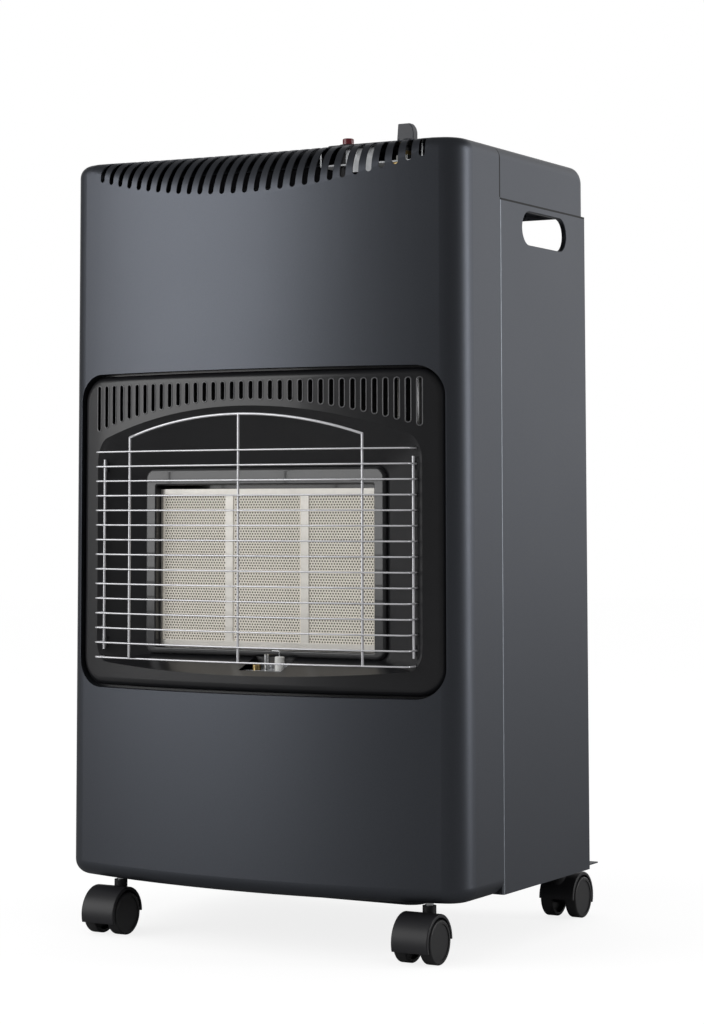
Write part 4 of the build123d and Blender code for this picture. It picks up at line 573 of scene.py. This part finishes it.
# %% Floor
FLOOR_RADIUS = 9.0
FLOOR_SEGMENTS = 96
FLOOR_GLOW = 0.83
FLOOR_SHADE = 0.22
FLOOR_ROUGHNESS = 0.9

floor_mesh = bpy.data.meshes.new("floor")
floor_form = bmesh.new()
bmesh.ops.create_circle(floor_form, cap_ends=True, segments=FLOOR_SEGMENTS, radius=FLOOR_RADIUS)
floor_form.to_mesh(floor_mesh)
floor_form.free()
floor = bpy.data.objects.new("floor", floor_mesh)
bpy.context.collection.objects.link(floor)


def by_kind_of_ray(tree, plain, seen, in_gloss):
    """A strength that is plain for diffuse rays and has its own value for camera and glossy rays."""
    path = tree.nodes.new("ShaderNodeLightPath")
    direct = calculate(tree, "MAXIMUM", path.outputs["Is Camera Ray"], path.outputs["Is Transmission Ray"])
    for_camera = calculate(tree, "MULTIPLY", direct, seen - plain)
    glossy_change = calculate(tree, "SUBTRACT", in_gloss, plain)
    for_gloss = calculate(tree, "MULTIPLY", path.outputs["Is Glossy Ray"], glossy_change)
    return calculate(tree, "ADD", calculate(tree, "ADD", for_camera, for_gloss), plain)


floor_paint = bpy.data.materials.new("floor_paint")
floor_paint.use_nodes = True
floor_tree = floor_paint.node_tree
floor_shader = floor_tree.nodes["Principled BSDF"]
floor_shader.inputs["Base Color"].default_value = (FLOOR_SHADE, FLOOR_SHADE, FLOOR_SHADE, 1.0)
floor_shader.inputs["Roughness"].default_value = FLOOR_ROUGHNESS
floor_shader.inputs["Specular IOR Level"].default_value = 0.0
glow = floor_tree.nodes.new("ShaderNodeEmission")
glow_strength = by_kind_of_ray(floor_tree, 0.0, FLOOR_GLOW, 0.0)
floor_tree.links.new(glow_strength, glow.inputs["Strength"])
floor_sum = floor_tree.nodes.new("ShaderNodeAddShader")
floor_tree.links.new(floor_shader.outputs[0], floor_sum.inputs[0])
floor_tree.links.new(glow.outputs[0], floor_sum.inputs[1])
floor_tree.links.new(floor_sum.outputs[0], floor_tree.nodes["Material Output"].inputs["Surface"])
floor_mesh.materials.append(floor_paint)

# %% [markdown]
# ## The studio round the heater
#
# A satin surface looks like what it reflects. The studio is white behind the heater, where the
# sweep hangs, and dim in front and overhead, where the camera stands. The world shows exactly
# that to reflections: a white band low at the back, and a dim room elsewhere. For plain diffuse
# light it is even all round, so colours keep their own brightness.

# %% World
PLAIN_SKY = 0.75
DIM_ROOM = 0.09
SWEEP_STARTS = 0.3
SWEEP_IS_FULL = 0.8
SWEEP_TOP = 0.75
SWEEP_IS_FULL_BELOW = 0.3

world = bpy.data.worlds.new("studio")
bpy.context.scene.world = world
world.use_nodes = True
world_tree = world.node_tree
direction = world_tree.nodes.new("ShaderNodeSeparateXYZ")
world_coords = world_tree.nodes.new("ShaderNodeTexCoord")
world_tree.links.new(world_coords.outputs["Generated"], direction.inputs[0])
ramps = []
for axis, nothing_at, all_at in (("Y", SWEEP_STARTS, SWEEP_IS_FULL), ("Z", SWEEP_TOP, SWEEP_IS_FULL_BELOW)):
    ramp = place(world_tree, "ShaderNodeMapRange", interpolation_type="SMOOTHSTEP")
    ramp.inputs["From Min"].default_value = nothing_at
    ramp.inputs["From Max"].default_value = all_at
    world_tree.links.new(direction.outputs[axis], ramp.inputs["Value"])
    ramps.append(ramp.outputs["Result"])
sweep = calculate(world_tree, "MULTIPLY", *ramps)
brighter = calculate(world_tree, "MULTIPLY", sweep, 1.0 - DIM_ROOM)
reflected_room = calculate(world_tree, "ADD", brighter, DIM_ROOM)
sky_strength = by_kind_of_ray(world_tree, PLAIN_SKY, 1.0, reflected_room)
world_tree.nodes["Background"].inputs["Color"].default_value = (1.0, 1.0, 1.0, 1.0)
world_tree.links.new(sky_strength, world_tree.nodes["Background"].inputs["Strength"])

# %% [markdown]
# ## Lamps
#
# A big soft box at the front left is the key. Mirrored in the bowed front it makes the bright
# middle that dies away towards the right. A narrow one at the right draws the light line down
# the rounded corner.

# %% Lamps
def soft_box(name, place_at, look_at, width, height, watts):
    """A rectangular area lamp that faces a point."""
    data = bpy.data.lights.new(name, "AREA")
    data.shape = "RECTANGLE"
    data.size, data.size_y = width, height
    data.energy = watts
    lamp = bpy.data.objects.new(name, data)
    bpy.context.collection.objects.link(lamp)
    direction_of_light = Vector(look_at) - Vector(place_at)
    turn_of_lamp = direction_of_light.to_track_quat("-Z", "Y").to_matrix().to_4x4()
    lamp.matrix_world = Matrix.Translation(place_at) @ turn_of_lamp
    return lamp


HEATER_MIDDLE = (0.0, 0.0, 0.45)
KEY_PLACE = (-1.74, -2.05, 1.18)
CORNER_LIGHT_PLACE = (2.6, 0.95, 0.9)
key = soft_box("key", KEY_PLACE, HEATER_MIDDLE, width=2.3, height=2.0, watts=37.0)
corner_light = soft_box("corner_light", CORNER_LIGHT_PLACE, HEATER_MIDDLE, width=0.45, height=1.9, watts=21.0)
print("lamps", key.name, corner_light.name)

# %% [markdown]
# ## Last lines
#
# The Standard view shows the colours as they are written.

# %% Colour management
bpy.context.scene.view_settings.view_transform = "Standard"
